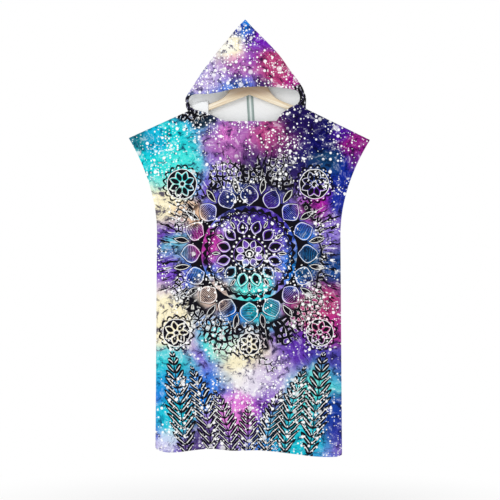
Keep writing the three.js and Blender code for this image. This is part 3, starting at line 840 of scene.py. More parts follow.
def lace_cover(n, at, patches):
    """Where the lace lies: round the mandala, and at the left and the right of the neck."""
    tall = n.distance(n.vector("MULTIPLY", at, (1.3, 1.0, 0.0)), 0.0, -0.635)
    squat = n.vector("MULTIPLY", at, (1.0, 1.6, 0.0))
    left_corner = n.rising(n.distance(squat, -0.180, -0.272), 0.075, 0.060)
    right_rim = n.rising(n.distance(squat, 0.170, -0.205), 0.060, 0.045)
    return n.rising(tall - patches * 0.30, 0.165, 0.145).most(left_corner).most(right_rim)


def draw_print(n, at):
    """The ink drawing: a mandala over a net of lace, rosettes, and leaves that grow from the hem."""
    at = n.wandered(at, 26.0, 2.0, 0.5, 0.007)
    x, y, _ = n.parts(at)
    side = abs(x - MIDDLE_LINE)
    mirrored = n.point(side, y)
    pen = Pen()
    patches = n.noise(at, 8.0, 3.0, 0.6)
    draw_lace(pen, at, lace_cover(n, at, patches), n.rising(patches, 0.35, 0.65, 0.34, 0.09))
    middle = Round(at, *MANDALA_MIDDLE)
    draw_rays(pen, middle)
    pen.clear(n.rising(middle.out, 0.225, 0.205))
    draw_mandala(pen, middle, MANDALA_SIZE)
    draw_rosette(pen, mirrored, 0.205, -0.405, 1.15, 8)
    draw_rosette(pen, mirrored, 0.222, -0.865, 1.05, 7)
    draw_rosette(pen, at, 0.0, -0.900, 0.85, 6)
    for spray in SPRAYS:
        draw_spray(pen, side, y, *spray)
    return pen


# The dots of the print: cells to the metre, smallest and largest radius in cells, share of the cells and
# strength.
DOTS = (
    (23, 0.09, 0.19, 0.42, 0.6),
    (44, 0.09, 0.23, 0.55, 0.95),
    (88, 0.11, 0.27, 0.55, 0.95),
    (160, 0.12, 0.32, 0.26, 0.80),
)


def strew_dots(n, at, laid):
    """White dots of many sizes, thicker in drifts and towards the neck and the hem."""
    _, up, _ = n.parts(at)
    drift = n.rising(n.noise(at, 8.0, 3.0, 0.6), 0.46, 0.62)
    drift = drift + n.rising(abs(up + 0.68), 0.25, 0.52, 0.0, 0.5)
    for scale, least, most, share, strength in DOTS:
        cell = n.cells(at, scale, jitter=0.9)
        chance, size, _ = n.parts(cell.output(1))
        dot = n.rising(cell - size * (most - least) - least, 0.05, -0.05)
        shown = n.rising(chance - drift * share, 0.01, -0.01)
        laid = n.mix(dot * shown * strength, laid, WHITE)
    return laid


def cloth_relief(n, flat):
    """The nap, the turned hem with its stitched groove, and the puckers beside it."""
    to_edge, to_seam = n.mark("to_edge"), n.mark("to_seam")
    nap = n.noise(flat, 520.0, 3.0, 0.7) * 0.20 + n.noise(flat, 120.0, 2.0) * 0.16
    turned = n.rising(to_edge, (TURNED_IN + 1) * MM, (TURNED_IN - 1) * MM) * 0.9
    groove = n.rising(abs(to_edge - STITCHED_IN * MM), 0.0016, 0.0003) * -0.8
    beside = n.rising(to_seam.least(to_edge), 0.030, 0.004)
    puckers = n.noise(flat, 62.0, 2.0, 0.6) * beside * 1.5
    sunk = n.rising(to_seam, 0.004, 0.0) * -1.6
    return nap + turned + groove + puckers + sunk


def printed_towelling():
    n = Finish("printed_towelling")
    flat = n.flat()
    pen = draw_print(n, flat)
    laid = lay_washes(n, flat)
    laid = n.mix(0.5, laid, laid, "MULTIPLY")  # deepens the washes
    laid = n.mix(pen.ink.amount, laid, INK)
    laid = n.mix(pen.white.amount * 0.88, laid, WHITE)
    sockets = {"Base Color": strew_dots(n, flat, laid), "Roughness": 0.88, "Specular IOR Level": 0.1}
    sockets.update({"Sheen Weight": 0.03, "Sheen Roughness": 0.5})
    return n.done(sockets | {"Normal": n.bump(cloth_relief(n, flat), 0.55, 0.0016)})


def pale_towelling():
    n = Finish("pale_towelling")
    flat = n.flat()
    loops = n.cells(flat, 620.0) * 0.6 + n.noise(flat, 90.0, 3.0) * 0.5
    shade = n.mix(n.noise(flat, 300.0, 3.0), colour("EAECEE"), colour("FAFBFB"))
    sockets = {"Base Color": shade, "Roughness": 0.95, "Normal": n.bump(loops, 0.6, 0.0012)}
    return n.done(sockets | {"Sheen Weight": 0.2, "Sheen Roughness": 0.6, "Specular IOR Level": 0.2})


# ---------------------------------------------------------------- the front and back

COARSE_TOPS = np.concatenate(
    [
        spread(LEFT.tip_x, LEFT.neck_x, 8)[:-1],
        spread(LEFT.neck_x, FACE_ENDS_X[LEFT], 9, 1.7),
        spread(FACE_ENDS_X[LEFT], FACE_ENDS_X[RIGHT], 7)[1:-1],
        spread(RIGHT.neck_x, FACE_ENDS_X[RIGHT], 9, 1.7)[::-1],
        spread(RIGHT.neck_x, RIGHT.tip_x, 8)[1:],
    ]
)
COLUMN_STEPS = 5
SIDE_STEPS = 12  # extra columns in the first and last step, where the cloth turns in
ROLL_ROWS = 9
HUNG_ROWS = 176
LOWER_ROWS_WIDER = 1.25
EVENED_OUT = 0.87  # share of the drop in which the columns spread out evenly
ARMHOLE_LEAN = math.cos(math.radians(25))  # from the way across to the way square to the armhole
SHOULDER_LEAN = 0.9
FAR = 1e3  # stands for a distance to an edge or seam that isn't there
MARKS_REACH = 200


def column_places():
    last = len(COARSE_TOPS) - 1
    turning = spread(0, 1, SIDE_STEPS + 1, 2.0)
    middle = np.linspace(1, last - 1, (last - 2) * COLUMN_STEPS + 1)
    return np.concatenate([turning[:-1], middle, last - turning[:-1][::-1]])


def panel_grid(panel):
    """Rows of outer points from the top edge to the hem."""
    places = column_places()
    last = len(COARSE_TOPS) - 1
    top_x = np.interp(places, np.arange(last + 1), COARSE_TOPS)
    even = places / last
    hem_x = lerp(edge(LEFT, HEM_MEAN_Z), edge(RIGHT, HEM_MEAN_Z), even)
    hem_z = smooth_through(HEM_X, HEM_Z, hem_x)
    turns = spread(0, math.pi / 2, ROLL_ROWS)
    rolled = ROLL_OVER_HANGER * (1 - np.cos(turns))
    rolls = np.concatenate([rolled, np.full(HUNG_ROWS, rolled[-1])])[:, None]
    hung = spread(0, 1, HUNG_ROWS + 1, LOWER_ROWS_WIDER)[1:]
    downs = np.concatenate([np.zeros(ROLL_ROWS), hung])[:, None]
    z = lerp(top(top_x)[None] - rolls, hem_z[None], downs)
    share = lerp((top_x - LEFT.tip_x) / (RIGHT.tip_x - LEFT.tip_x), even, ease(downs / EVENED_OUT))
    x = lerp(edge(LEFT, z), edge(RIGHT, z), share)
    y = panel.side * panel_depth(panel, x, z)
    return np.stack([x, y, z], axis=-1)


def panel_marks(grid):
    """Distances to the finished edges (hem, armholes, bare neckline) and to the seams."""
    x, z = grid[..., 0], grid[..., 2]
    to_hem = z - smooth_through(HEM_X, HEM_Z, x)
    side, down = from_side(x, z)
    armhole = np.where(down < ARMHOLE_DROP, side, FAR) * ARMHOLE_LEAN
    side_seam = np.where(down >= ARMHOLE_DROP, side, np.hypot(side, ARMHOLE_DROP - down))
    to_neck = neckline(np.clip(x, LEFT.neck_x, RIGHT.neck_x)) - z
    on_neck = (x > LEFT.neck_x) & (x < RIGHT.neck_x)
    bare = (x > FACE_ENDS_X[LEFT]) & (x < FACE_ENDS_X[RIGHT]) & (grid[..., 1] < 0)
    neck_seam = np.where(on_neck & ~bare, to_neck, FAR)
    shoulder = np.where(on_neck, FAR, (ridge(x) - z) * SHOULDER_LEAN)
    marks = {
        "to_edge": np.minimum(np.minimum(to_hem, armhole), np.where(bare, to_neck, FAR)),
        "to_seam": np.minimum(np.minimum(side_seam, neck_seam), shoulder),
    }
    return {name: np.clip(distance, 0, MARKS_REACH) for name, distance in marks.items()}


def make_panel(name):
    panel = PANELS[name]
    grid = panel_grid(panel)
    faces = grid_faces(*grid.shape[:2], flip=panel.side < 0)
    flat = np.stack([grid[..., 0] * -panel.side, grid[..., 2]], axis=-1)
    return cloth_object("towel_" + name.split("_")[0], grid, faces, flat, panel_marks(grid))


# ---------------------------------------------------------------- the hood


def hood_outline(column, z):
    return smooth_through(HOOD_OUTLINE[:, 0], HOOD_OUTLINE[:, column], z)


def hood_sides(z):
    return hood_outline(LEFT_X, z), hood_outline(RIGHT_X, z)


def hood_points(x, z, face):
    """Points on the hood's outer face at places in the front view, on its front (-1) or back (1)."""
    left, right = hood_sides(z)
    middle, half = (left + right) / 2, (right - left) / 2
    across = np.clip((x - middle) / half, -1, 1)
    depth = hood_outline(FRONT_OUT if face < 0 else BACK_OUT, z)
    y = face * depth * np.sqrt(1 - across**2)
    return np.stack([middle + across * half, y, z], axis=-1)


def neck_foot(x, face):
    panel = PANELS["front_panel" if face < 0 else "back_panel"]
    z = top(x)
    return np.stack([x, face * panel_depth(panel, x, z), z + SEAM_GAP], axis=-1)


FRONT_COLUMNS = 41
BACK_COLUMNS = 61
ROWS_EACH_COURSE = 9


def course_points(course, is_foot):
    """One course from the left face edge, round the back, to the right face edge."""
    left_x, left_z, left_side_z, back_z, right_side_z, right_x, right_z = course
    halves = ((LEFT, left_x, left_z, left_side_z), (RIGHT, right_x, right_z, right_side_z))
    up = (back_z - HOOD_COURSES[0, 3]) / (HOOD_OUTLINE[-1, 0] - HOOD_COURSES[0, 3])
    seam_x = lerp(MIDDLE_X, HOOD_OUTLINE[-1, LEFT_X], up)
    stretches = []
    for s, face_x, face_z, side_z in halves:
        side_x = hood_outline(LEFT_X if s is LEFT else RIGHT_X, side_z)
        front_t = spread(1, 0, FRONT_COLUMNS) ** 1.3
        back_t = spread(0, 1, BACK_COLUMNS) ** 1.25
        if is_foot:
            front = neck_foot(lerp(s.neck_x, face_x, front_t), -1)
            back = neck_foot(lerp(s.neck_x, MIDDLE_X, back_t), 1)
        else:
            front = hood_points(lerp(side_x, face_x, front_t), lerp(side_z, face_z, front_t), -1)
            back = hood_points(lerp(side_x, seam_x, back_t), lerp(side_z, back_z, back_t), 1)
        stretches.append(np.concatenate([front, back[1:]]))
    return np.concatenate([stretches[0], stretches[1][:-1][::-1]])


def hood_grid():
    coarse = np.array([course_points(course, i == 0) for i, course in enumerate(HOOD_COURSES)])
    keys = np.arange(len(coarse))
    fine = np.linspace(0, keys[-1], keys[-1] * ROWS_EACH_COURSE + 1)
    flat = coarse.reshape(len(coarse), -1)
    columns = [smooth_through(keys, flat[:, k], fine) for k in range(flat.shape[1])]
    grid = np.stack(columns, axis=1).reshape(len(fine), *coarse.shape[1:])
    # Between its courses the hood keeps to its form, except by the neck seam and where it rounds the sides.
    x, y, z = grid[..., 0], grid[..., 1], grid[..., 2]
    formed = [hood_points(x, z, face)[..., 1] for face in (-1, 1)]
    formed = np.where(hood_faces_front(grid.shape[1]), *formed)
    left, right = hood_sides(z)
    across = np.abs(2 * x - left - right) / (right - left)
    kept = ease((0.97 - across) / 0.12) * ease((fine[:, None] - 0.6) / 0.9)
    grid[..., 1] = lerp(y, formed, kept)
    # In the last row both halves meet in the fold over the crown, and the whole back is the peak.
    grid[-1, FRONT_COLUMNS - 1 : -FRONT_COLUMNS] = (HOOD_OUTLINE[-1, LEFT_X], 0, HOOD_OUTLINE[-1, 0])
    grid[-1] = (grid[-1] + grid[-1, ::-1]) / 2
    # The middle of the back is in twice, once for each half of the cut.
    middle = grid.shape[1] // 2
    return np.insert(grid, middle, grid[:, middle], axis=1)


def hood_faces_front(columns):
    front = np.zeros(columns, bool)
    front[:FRONT_COLUMNS] = True
    front[-FRONT_COLUMNS:] = True
    return front


def section_arc(half, depth, across):
    """Length of a flat half-oval's outline from its middle to a place across it."""
    turn = np.arcsin(np.clip(across, -1, 1))
    steps = np.linspace(0, 1, 33)
    angle = turn[..., None] * steps
    speed = np.sqrt((half[..., None] * np.cos(angle)) ** 2 + (depth[..., None] * np.sin(angle)) ** 2)
    return speed.mean(axis=-1) * turn


def opened_out(points, foot, peak):
    """Places behind the fold from foot to peak, turned out to the other side of it."""
    fold = (peak - foot) / np.linalg.norm(peak - foot)
    away = points - foot
    return foot + 2 * (away @ fold)[..., None] * fold - away


def hood_flat(grid):
    """Each point's place on the flat cut: the front as it is seen, the back opened out past its side."""
    x, z = grid[..., 0], grid[..., 2]
    left, right = hood_sides(z)
    middle, half = (left + right) / 2, np.maximum((right - left) / 2, 0.1)
    across = np.clip((x - middle) / half, -1, 1)
    on_front = middle + section_arc(half, hood_outline(FRONT_OUT, z), across)
    flat = np.stack([on_front, z], axis=-1)
    seen = np.stack([x, z], axis=-1)
    side, centre = FRONT_COLUMNS - 1, grid.shape[1] // 2 - 1
    peak = np.array([HOOD_OUTLINE[-1, LEFT_X], HOOD_OUTLINE[-1, 0]])
    for way, foot in zip((1, -1), np.array(HOOD_FOLD_FEET)):
        points, laid = grid[:, ::way][:, side : centre + 1], flat[:, ::way]
        turned = opened_out(seen[:, ::way][:, side : centre + 1], foot, peak)
        run = path_length(points.transpose(1, 0, 2)).T
        shift = laid[:, side : side + 1] - turned[:, :1]
        laid[:, side : centre + 1] = turned + shift * (1 - ease(run / HOOD_FLAT_EASED))[..., None]
    return flat


def crease_hood(grid):
    """Adds the creases of the hood's front, faded out towards its sides."""
    x, z = grid[..., 0], grid[..., 2]
    out = ripples(x, z, ((120, 0.7, 0.2, 0.7), (70, -0.4, 1.9, 0.4), (43, 1.4, 0.7, 0.2)))
    for crease in HOOD_CREASES:
        out = out + crease_out(crease, x, z)
    left, right = hood_sides(z)
    face = np.where(hood_faces_front(grid.shape[1]), -1, 1)
    amount = ease(np.minimum(x - left, right - x) / 30) * ease((z + 200) / 40)
    grid[..., 1] += face * out * amount * np.where(face < 0, 1, 0.8)
    return grid


def path_length(points):
    """Running length along the first axis of a grid of points."""
    steps = np.linalg.norm(np.diff(points, axis=0), axis=-1)
    return np.concatenate([np.zeros((1,) + steps.shape[1:]), np.cumsum(steps, axis=0)])


def hood_marks(grid):
    """Distances to the face edge and to the seams, along the cloth."""
    from_left = path_length(grid.transpose(1, 0, 2)).T
    to_face = np.minimum(from_left, from_left[:, -1:] - from_left)
    # In the rows near the fold over the crown, the way along the row overstates the distance to the arch.
    arch = np.concatenate([grid[:, 0], grid[::-1, -1]])
    near = np.full(grid.shape[:2], FAR)
    for point in arch[::4]:
        near = np.minimum(near, np.linalg.norm(grid - point, axis=-1))
    to_foot = path_length(grid)
    middle = (grid.shape[1] - 1) // 2
    to_back_seam = np.abs(from_left - from_left[:, middle : middle + 1])
    marks = {"to_edge": np.minimum(to_face, near), "to_seam": np.minimum(to_foot, to_back_seam)}
    return {name: np.clip(distance, 0, MARKS_REACH) for name, distance in marks.items()}


def make_hood(grid):
    faces = grid_faces(*grid.shape[:2], flip=True)
    obj = cloth_object("towel_hood", grid, faces, hood_flat(grid), hood_marks(grid))
    merge_points(obj)
    return obj


# ---------------------------------------------------------------- sewing

def normals(grid, outward):
    """Unit normals of a grid of points; outward is 1 or -1 for the way round it is laid."""
    across = np.cross(np.gradient(grid, axis=1), np.gradient(grid, axis=0)) * outward
    length = np.linalg.norm(across, axis=-1, keepdims=True)
    return across / np.maximum(length, 1e-9)


def places_along(line, length, at):
    """The places on a line at these lengths along it."""
    return np.stack([np.interp(at, length, column) for column in line.T], axis=-1)


def along_rows(grid, distances):
    """Points at these lengths along each row of a grid, from its first column."""
    lengths = path_length(grid.transpose(1, 0, 2)).T
    return np.stack([places_along(row, length, distances) for row, length in zip(grid, lengths)])


def on_panel(name, x, z):
    """Points on a panel's outer face, and the way out of the cloth there."""
    panel, step = PANELS[name], 1.0
    slope_x = (panel_depth(panel, x + step, z) - panel_depth(panel, x - step, z)) / (2 * step)
    slope_z = (panel_depth(panel, x, z + step) - panel_depth(panel, x, z - step)) / (2 * step)
    out = np.stack([-slope_x, np.full_like(x, panel.side), -slope_z], axis=-1)
    out /= np.linalg.norm(out, axis=-1, keepdims=True)
    return np.stack([x, panel.side * panel_depth(panel, x, z), z], axis=-1), out


def panel_seam_lines(name):
    """The rows of stitches on a panel: its hem, both armholes, and on the front the bare neckline."""
    x = np.linspace(edge(LEFT, HEM_MEAN_Z) + 5, edge(RIGHT, HEM_MEAN_Z) - 5, 300)
    lines = [on_panel(name, x, smooth_through(HEM_X, HEM_Z, x) + STITCHED_IN)]
    for s in (LEFT, RIGHT):
        z = np.linspace(s.tip_z - 6, s.tip_z - ARMHOLE_DROP - 4, 120)
        lean = (edge(s, z + 1) - edge(s, z - 1)) / 2
        inset = STITCHED_IN * np.sqrt(1 + lean**2)
        lines.append(on_panel(name, edge(s, z) - s.side * inset, z))
    if name == "front_panel":
        x = np.linspace(FACE_ENDS_X[LEFT] - 6, FACE_ENDS_X[RIGHT] + 6, 90)
        lines.append(on_panel(name, x, neckline(x) - STITCHED_IN))
    return lines


def hood_seam_lines(grid):
    """The row of stitches round the hood's face edge."""
    out = normals(grid, HOOD_WAY)
    both = np.concatenate([grid, out], axis=-1)
    near = FRONT_COLUMNS + 20
    left, right = (along_rows(both[:, ::way][:, :near], [STITCHED_IN])[2:-1, 0] for way in (1, -1))
    line = np.concatenate([left, right[::-1]])
    return [(line[:, :3], line[:, 3:])]


def line_object(name, lines):
    """Lines in the cloth, as edges that carry the way out of the cloth."""
    mesh = bpy.data.meshes.new(name)
    points = np.concatenate([line[0] for line in lines]) * MM
    outs = np.concatenate([line[1] for line in lines])
    edges, start = [], 0
    for line, _ in lines:
        edges += [(start + i, start + i + 1) for i in range(len(line) - 1)]
        start += len(line)
    mesh.from_pydata(points.tolist(), edges, [])
    layer = mesh.attributes.new("out", "FLOAT_VECTOR", "POINT")
    layer.data.foreach_set("vector", outs.ravel())
    return new_object(name, mesh)


STITCH_INPUTS = (  # name, kind and default, in metres and radians
    ("Lines", "Geometry", None),
    ("Step", "Float", 0.0035),
    ("Length", "Float", 0.0028),
    ("Thread", "Float", 0.0003),
    ("Slant", "Float", 0.0),
    ("Seed", "Int", 3),
    ("Material", "Material", None),
)
UNEVEN_SLANT = 0.09


def stitch_nodes():
    """Geometry nodes that sew short arched threads along lines."""
    tree = bpy.data.node_groups.new("row_of_stitches", "GeometryNodeTree")
    for name, kind, default in STITCH_INPUTS:
        socket = tree.interface.new_socket(name, in_out="INPUT", socket_type="NodeSocket" + kind)
        if default is not None:
            socket.default_value = default
    tree.interface.new_socket("Stitches", in_out="OUTPUT", socket_type="NodeSocketGeometry")
    n = Nodes(tree, "NodeGroupOutput")
    given = n.add("NodeGroupInput")
    lines, step, length, thick, slant, seed, material = (given.output(i) for i in range(len(STITCH_INPUTS)))

    rows = n.add("GeometryNodeMeshToCurve", sockets={"Mesh": lines})
    rows = n.add("GeometryNodeResampleCurve", {"mode": "LENGTH"}, {"Curve": rows, "Length": step})

    back, front = (n.point(length * share, 0.0, thick * -1.2) for share in (-0.5, 0.5))
    arch = {"Resolution": 6, "Start": back, "Middle": n.point(0.0, 0.0, thick * 2.4), "End": front}
    arch = n.add("GeometryNodeCurveQuadraticBezier", sockets=arch)
    ring = {"Resolution": 6, "Radius": thick}
    ring = n.add("GeometryNodeCurvePrimitiveCircle", {"mode": "RADIUS"}, ring)
    stitch = {"Curve": arch, "Profile Curve": ring, "Fill Caps": True}
    stitch = n.add("GeometryNodeCurveToMesh", sockets=stitch)

    tangent = n.add("GeometryNodeInputTangent")
    out = n.add("GeometryNodeInputNamedAttribute", {"data_type": "FLOAT_VECTOR"}, {"Name": "out"})
    align = "FunctionNodeAlignRotationToVector"
    turned = n.add(align, {"axis": "X"}, {"Vector": tangent})
    turned = n.add(align, {"axis": "Z", "pivot_axis": "X"}, {"Rotation": turned, "Vector": out})
    uneven = {2: -UNEVEN_SLANT, 3: UNEVEN_SLANT, "Seed": seed}
    uneven = n.add("FunctionNodeRandomValue", {"data_type": "FLOAT"}, uneven, out=1)
    spun = n.add("FunctionNodeEulerToRotation", sockets={"Euler": n.point(0.0, 0.0, slant + uneven)})
    turned = {"Rotation": turned, "Rotate By": spun}
    turned = n.add("FunctionNodeRotateRotation", {"rotation_space": "LOCAL"}, turned)

    sewn = {"Points": rows, "Instance": stitch, "Rotation": turned}
    sewn = n.add("GeometryNodeInstanceOnPoints", sockets=sewn)
    sewn = n.add("GeometryNodeRealizeInstances", sockets={"Geometry": sewn})
    sewn = n.add("GeometryNodeSetShadeSmooth", sockets={"Geometry": sewn})
    sewn = n.add("GeometryNodeSetMaterial", sockets={"Geometry": sewn, "Material": material})
    n.end("Stitches", sewn)
    return tree


def sew(tree, name, lines, thread, **values):
    """Sews a row of stitches along each line, and returns them as one plain mesh object."""
    obj = line_object(name, lines)
    rows = obj.modifiers.new("stitches", "NODES")
    rows.node_group = tree
    values = {key.capitalize(): value for key, value in values.items()} | {"Material": thread}
    for item in tree.interface.items_tree:
        if item.in_out == "INPUT" and item.name in values:
            rows[item.identifier] = values[item.name]
    obj.update_tag()
    sewn = settle_modifiers(obj)
    sewn.data.materials.clear()
    sewn.data.materials.append(thread)
    sewn.data.polygons.foreach_set("material_index", [0] * len(sewn.data.polygons))
    return sewn


def spun_thread(name, shade):
    n = Finish(name)
    twist = n.noise(n.here(), 2600.0, 1.0, dimensions="3D")
    return n.done({"Base Color": shade, "Roughness": 0.6, "Normal": n.bump(twist, 0.3, 0.0002)})


# ---------------------------------------------------------------- the seam allowances inside


BAND_WIDTH = 21  # the seam allowance up the inside of the hood's back
BAND_THICK = 1.2
BAND_OFF = 0.15  # what is left between it and the hood
BAND_ROWS = 10 * ROWS_EACH_COURSE + 1
OVERLOCKED_IN = 2.2  # from the band's edges to the middle of their overlocking
ALLOWANCE_WIDTH = 12.5
ALLOWANCE_THICK = 2.0
TURNING_OFF = 0.12
TURNING_THICK = 1.3
FOLD_THICK = 1.2


def hood_back_strip(grid, half, offset):
    """The strip of the hood's back within half a width of its middle seam, set in from the outer face."""
    middle = (grid.shape[1] - 1) // 2
    inner = (grid - normals(grid, HOOD_WAY) * offset)[:BAND_ROWS]
    widths = half * np.linspace(0, 1, 7)
    left = along_rows(inner[:, middle::-1], widths[::-1])
    return np.concatenate([left, along_rows(inner[:, middle:], widths)[:, 1:]], axis=1)


def strip_object(name, grid, thickness, material, flip=False):
    across = path_length(grid.transpose(1, 0, 2)).T
    flat = np.stack([across - across[:, -1:] / 2, grid[..., 2]], axis=-1)
    obj = cloth_object(name, grid, grid_faces(*grid.shape[:2], flip), flat, {})
    obj.data.materials.append(material)
    return thicken(obj, thickness)


def make_hood_band(grid, material):
    """The overlocked seam allowance, pressed open up the inside of the hood's back."""
    strip = hood_back_strip(grid, BAND_WIDTH / 2, WALL + BAND_OFF)
    return strip_object("hood_seam_allowance", strip, BAND_THICK, material)


def band_edge_lines(grid):
    """Lines up both overlocked edges of the hood's seam allowance."""
    strip = hood_back_strip(grid, BAND_WIDTH / 2 - OVERLOCKED_IN, WALL + BAND_OFF + BAND_THICK)
    forward = np.tile((0.0, -1.0, 0.0), (len(strip), 1))
    return [(strip[:, 0], forward), (strip[:, -1], forward)]


def make_side_allowances(material):
    """Two layers of cloth stood inwards from each side seam, between the front and the back."""
    made = []
    for s in (LEFT, RIGHT):
        z = np.linspace(s.tip_z - ARMHOLE_DROP - 2, HEM_MEAN_Z + 6, 150)[:, None]
        inset = np.linspace(2.0, ALLOWANCE_WIDTH, 4)[None]
        x = edge(s, z) - s.side * inset
        curl = ripples(x * 0, z, ((83, math.pi / 2, 0.3, 0.5), (47, math.pi / 2, 1.9, 0.3)))
        curl = curl * (inset / ALLOWANCE_WIDTH)
        grid = np.stack([x, ALLOWANCE_THICK / 2 + curl, z + 0 * inset], axis=-1)
        name = "side_seam_allowance_" + ("left" if s is LEFT else "right")
        made.append(strip_object(name, grid, ALLOWANCE_THICK, material, flip=s is RIGHT))
    return made


def make_hem_turnings(material):
    """The turned-up cloth inside the hem of the front and of the back."""
    made = []
    for name, panel in PANELS.items():
        x = np.linspace(edge(LEFT, HEM_MEAN_Z) + 7, edge(RIGHT, HEM_MEAN_Z) - 7, 260)[None]
        up = np.array([0.3, 4.0, 8.0, 12.0, TURNED_IN])[:, None]
        z = smooth_through(HEM_X, HEM_Z, x) + up
        points, out = on_panel(name, x + 0 * up, z)
        grid = points - out * (WALL + TURNING_OFF)
        name = "hem_turning_" + name.split("_")[0]
        made.append(strip_object(name, grid, TURNING_THICK, material, flip=panel.side > 0))
    return made


# Where the hood's lining is caught up over the hanger's left arm and hangs in front of it, from left to
# right: across, depth of the lining behind it, height of its crest, depth of its front, height of its foot.
LINING_FOLD = (
    (-184, 5.0, -161.5, 1.2, -168),
    (-177, 6.5, -160.0, -3.6, -170),
    (-171, 7.7, -158.0, -7.6, -174),
    (-165, 8.8, -155.5, -8.2, -184),
    (-155, 10.4, -152.0, -8.4, -198),
    (-145, 11.8, -149.5, -8.7, -206),
    (-136, 12.4, -149.2, -8.9, -209),
    (-130, 12.6, -150.2, -8.7, -210),
    (-127, 12.8, -153.0, -7.9, -211),
)


def make_lining_fold(material):
    """A fold of the hood's lining over the left arm of the hanger."""
    keys, *values = np.array(LINING_FOLD, float).T
    x = np.linspace(keys[0], keys[-1], 46)
    lining, crest, front, foot = (smooth_through(keys, value, x) for value in values)
    shape = (  # depth and height, from behind the crest, over it and down the front
        (lining - 1.5, crest + 6),
        (lining - 1.9, crest + 5.6),
        (lining - 3.5, crest + 4.6),
        (lerp(lining, front, 0.45), crest + 3),
        (lerp(lining, front, 0.85), crest + 0.6),
        (front + 0.1, crest - 4),
        (front, lerp(crest - 4, foot, 0.5)),
        (front, foot),
    )
    keys = range(len(shape))
    down = np.linspace(0, keys[-1], 57)
    columns = np.array(shape).transpose(2, 1, 0)
    smooth = [[smooth_through(keys, way, down) for way in column] for column in columns]
    y, z = np.array(smooth).transpose(1, 2, 0)
    grid = np.stack([x + 0 * y, y, z], axis=-1)
    return strip_object("hood_lining_fold", grid, FOLD_THICK, material, flip=True)


def overlocked_band():
    """Pale in the middle, and grey-green where the overlocking covers both edges."""
    n = Finish("overlocked_band")
    flat = n.flat()
    x, _, _ = n.parts(flat)
    loops = n.noise(n.vector("MULTIPLY", flat, (500.0, 900.0, 0.0)), 1.0, 2.0)
    covered = n.rising(abs(x) + loops * 0.002, 0.0030, 0.0045)
    shade = n.mix(covered, colour("E2E9E8"), colour("A6B7B4"))
    return n.done({"Base Color": shade, "Roughness": 0.9, "Normal": n.bump(loops, 0.7, 0.0012)})


# ---------------------------------------------------------------- the hanger

HANGER_THICK = 11.8
HANGER_EDGE_ROUND = 4.2
HUB_TOP_Z = -83
HANGER_HALF_OUTLINE = (  # curves in X and Z, from under the hub to its top, each by its control points
    ((0, -126.7), (214, -210.5)),
    ((214, -210.5), (222, -213.5), (222, -198), (217, -193)),
    ((217, -193), (172, -170.5), (138, -160.5)),
    ((138, -160.5), (108, -150), (92, -142)),
    ((92, -142), (70, -130), (60, -106)),
    ((60, -106), (46, HUB_TOP_Z), (17, HUB_TOP_Z)),
    ((17, HUB_TOP_Z), (0, HUB_TOP_Z)),
)
WIRE_RADIUS = 2.0
# The wire's rounded end: steps past the last point of the bowl, and share of the radius.
WIRE_END = ((0.55, 0.96), (0.95, 0.82), (1.25, 0.55), (1.4, 0.2))
BOWL_INNER = 17
BOWL_TURNS = (-58, 200)  # degrees
SOCKET_DEEP = 20
SOCKET_ROOM = 0.05
STEM_OFF = 0.1  # what is left under the wire in its socket
HOOK_BEND = 14


def bezier(points, count):
    points = np.array(points, float)
    t = np.linspace(0, 1, count)[:, None]
    degree = len(points) - 1
    return sum(math.comb(degree, i) * (1 - t) ** (degree - i) * t**i * p for i, p in enumerate(points))


def even_steps(line, step):
    """A line with its points a step apart."""
    length = path_length(line)
    at = np.linspace(0, length[-1], max(2, int(round(length[-1] / step)) + 1))
    return places_along(line, length, at)


def hanger_outline():
    half = np.concatenate([bezier(curve, 24)[:-1] for curve in HANGER_HALF_OUTLINE] + [[(0, HUB_TOP_Z)]])
    half = even_steps(half, 2.2)
    return np.concatenate([half, (half * (-1, 1))[1:-1][::-1]])


def hanger_rings():
    """The hanger's outline from its front to its back, drawn in where its edges are rounded."""
    outline = hanger_outline()
    ahead = np.roll(outline, -1, axis=0) - np.roll(outline, 1, axis=0)
    ahead /= np.linalg.norm(ahead, axis=1, keepdims=True)
    inward = np.stack([-ahead[:, 1], ahead[:, 0]], axis=-1)
    flat_half = HANGER_THICK / 2 - HANGER_EDGE_ROUND
    rings = []
    for turn in np.linspace(-math.pi / 2, math.pi / 2, 13):
        inset = HANGER_EDGE_ROUND * (1 - math.cos(turn))
        y = HANGER_EDGE_ROUND * math.sin(turn) + math.copysign(flat_half, turn) * (abs(turn) > 0.01)
        xz = outline + inward * inset
        rings.append(np.stack([xz[:, 0], np.full(len(xz), y), xz[:, 1]], axis=-1))
    return rings


def make_hanger_body(material):
    work = bmesh.new()
    rows = [[work.verts.new(point) for point in ring * MM] for ring in hanger_rings()]
    for low, high in zip(rows, rows[1:]):
        for i in range(len(low)):
            j = (i + 1) % len(low)
            work.faces.new((low[i], low[j], high[j], high[i])).smooth = True
    flat_sides = [work.faces.new(ends) for ends in (rows[0], rows[-1])]
    bmesh.ops.triangulate(work, faces=flat_sides, ngon_method="EAR_CLIP")
    bmesh.ops.recalc_face_normals(work, faces=work.faces)
    body = new_object("hanger_wood", put_mesh(work, bpy.data.meshes.new("hanger_wood")))
    body.data.materials.append(material)
    return drill_socket(body)


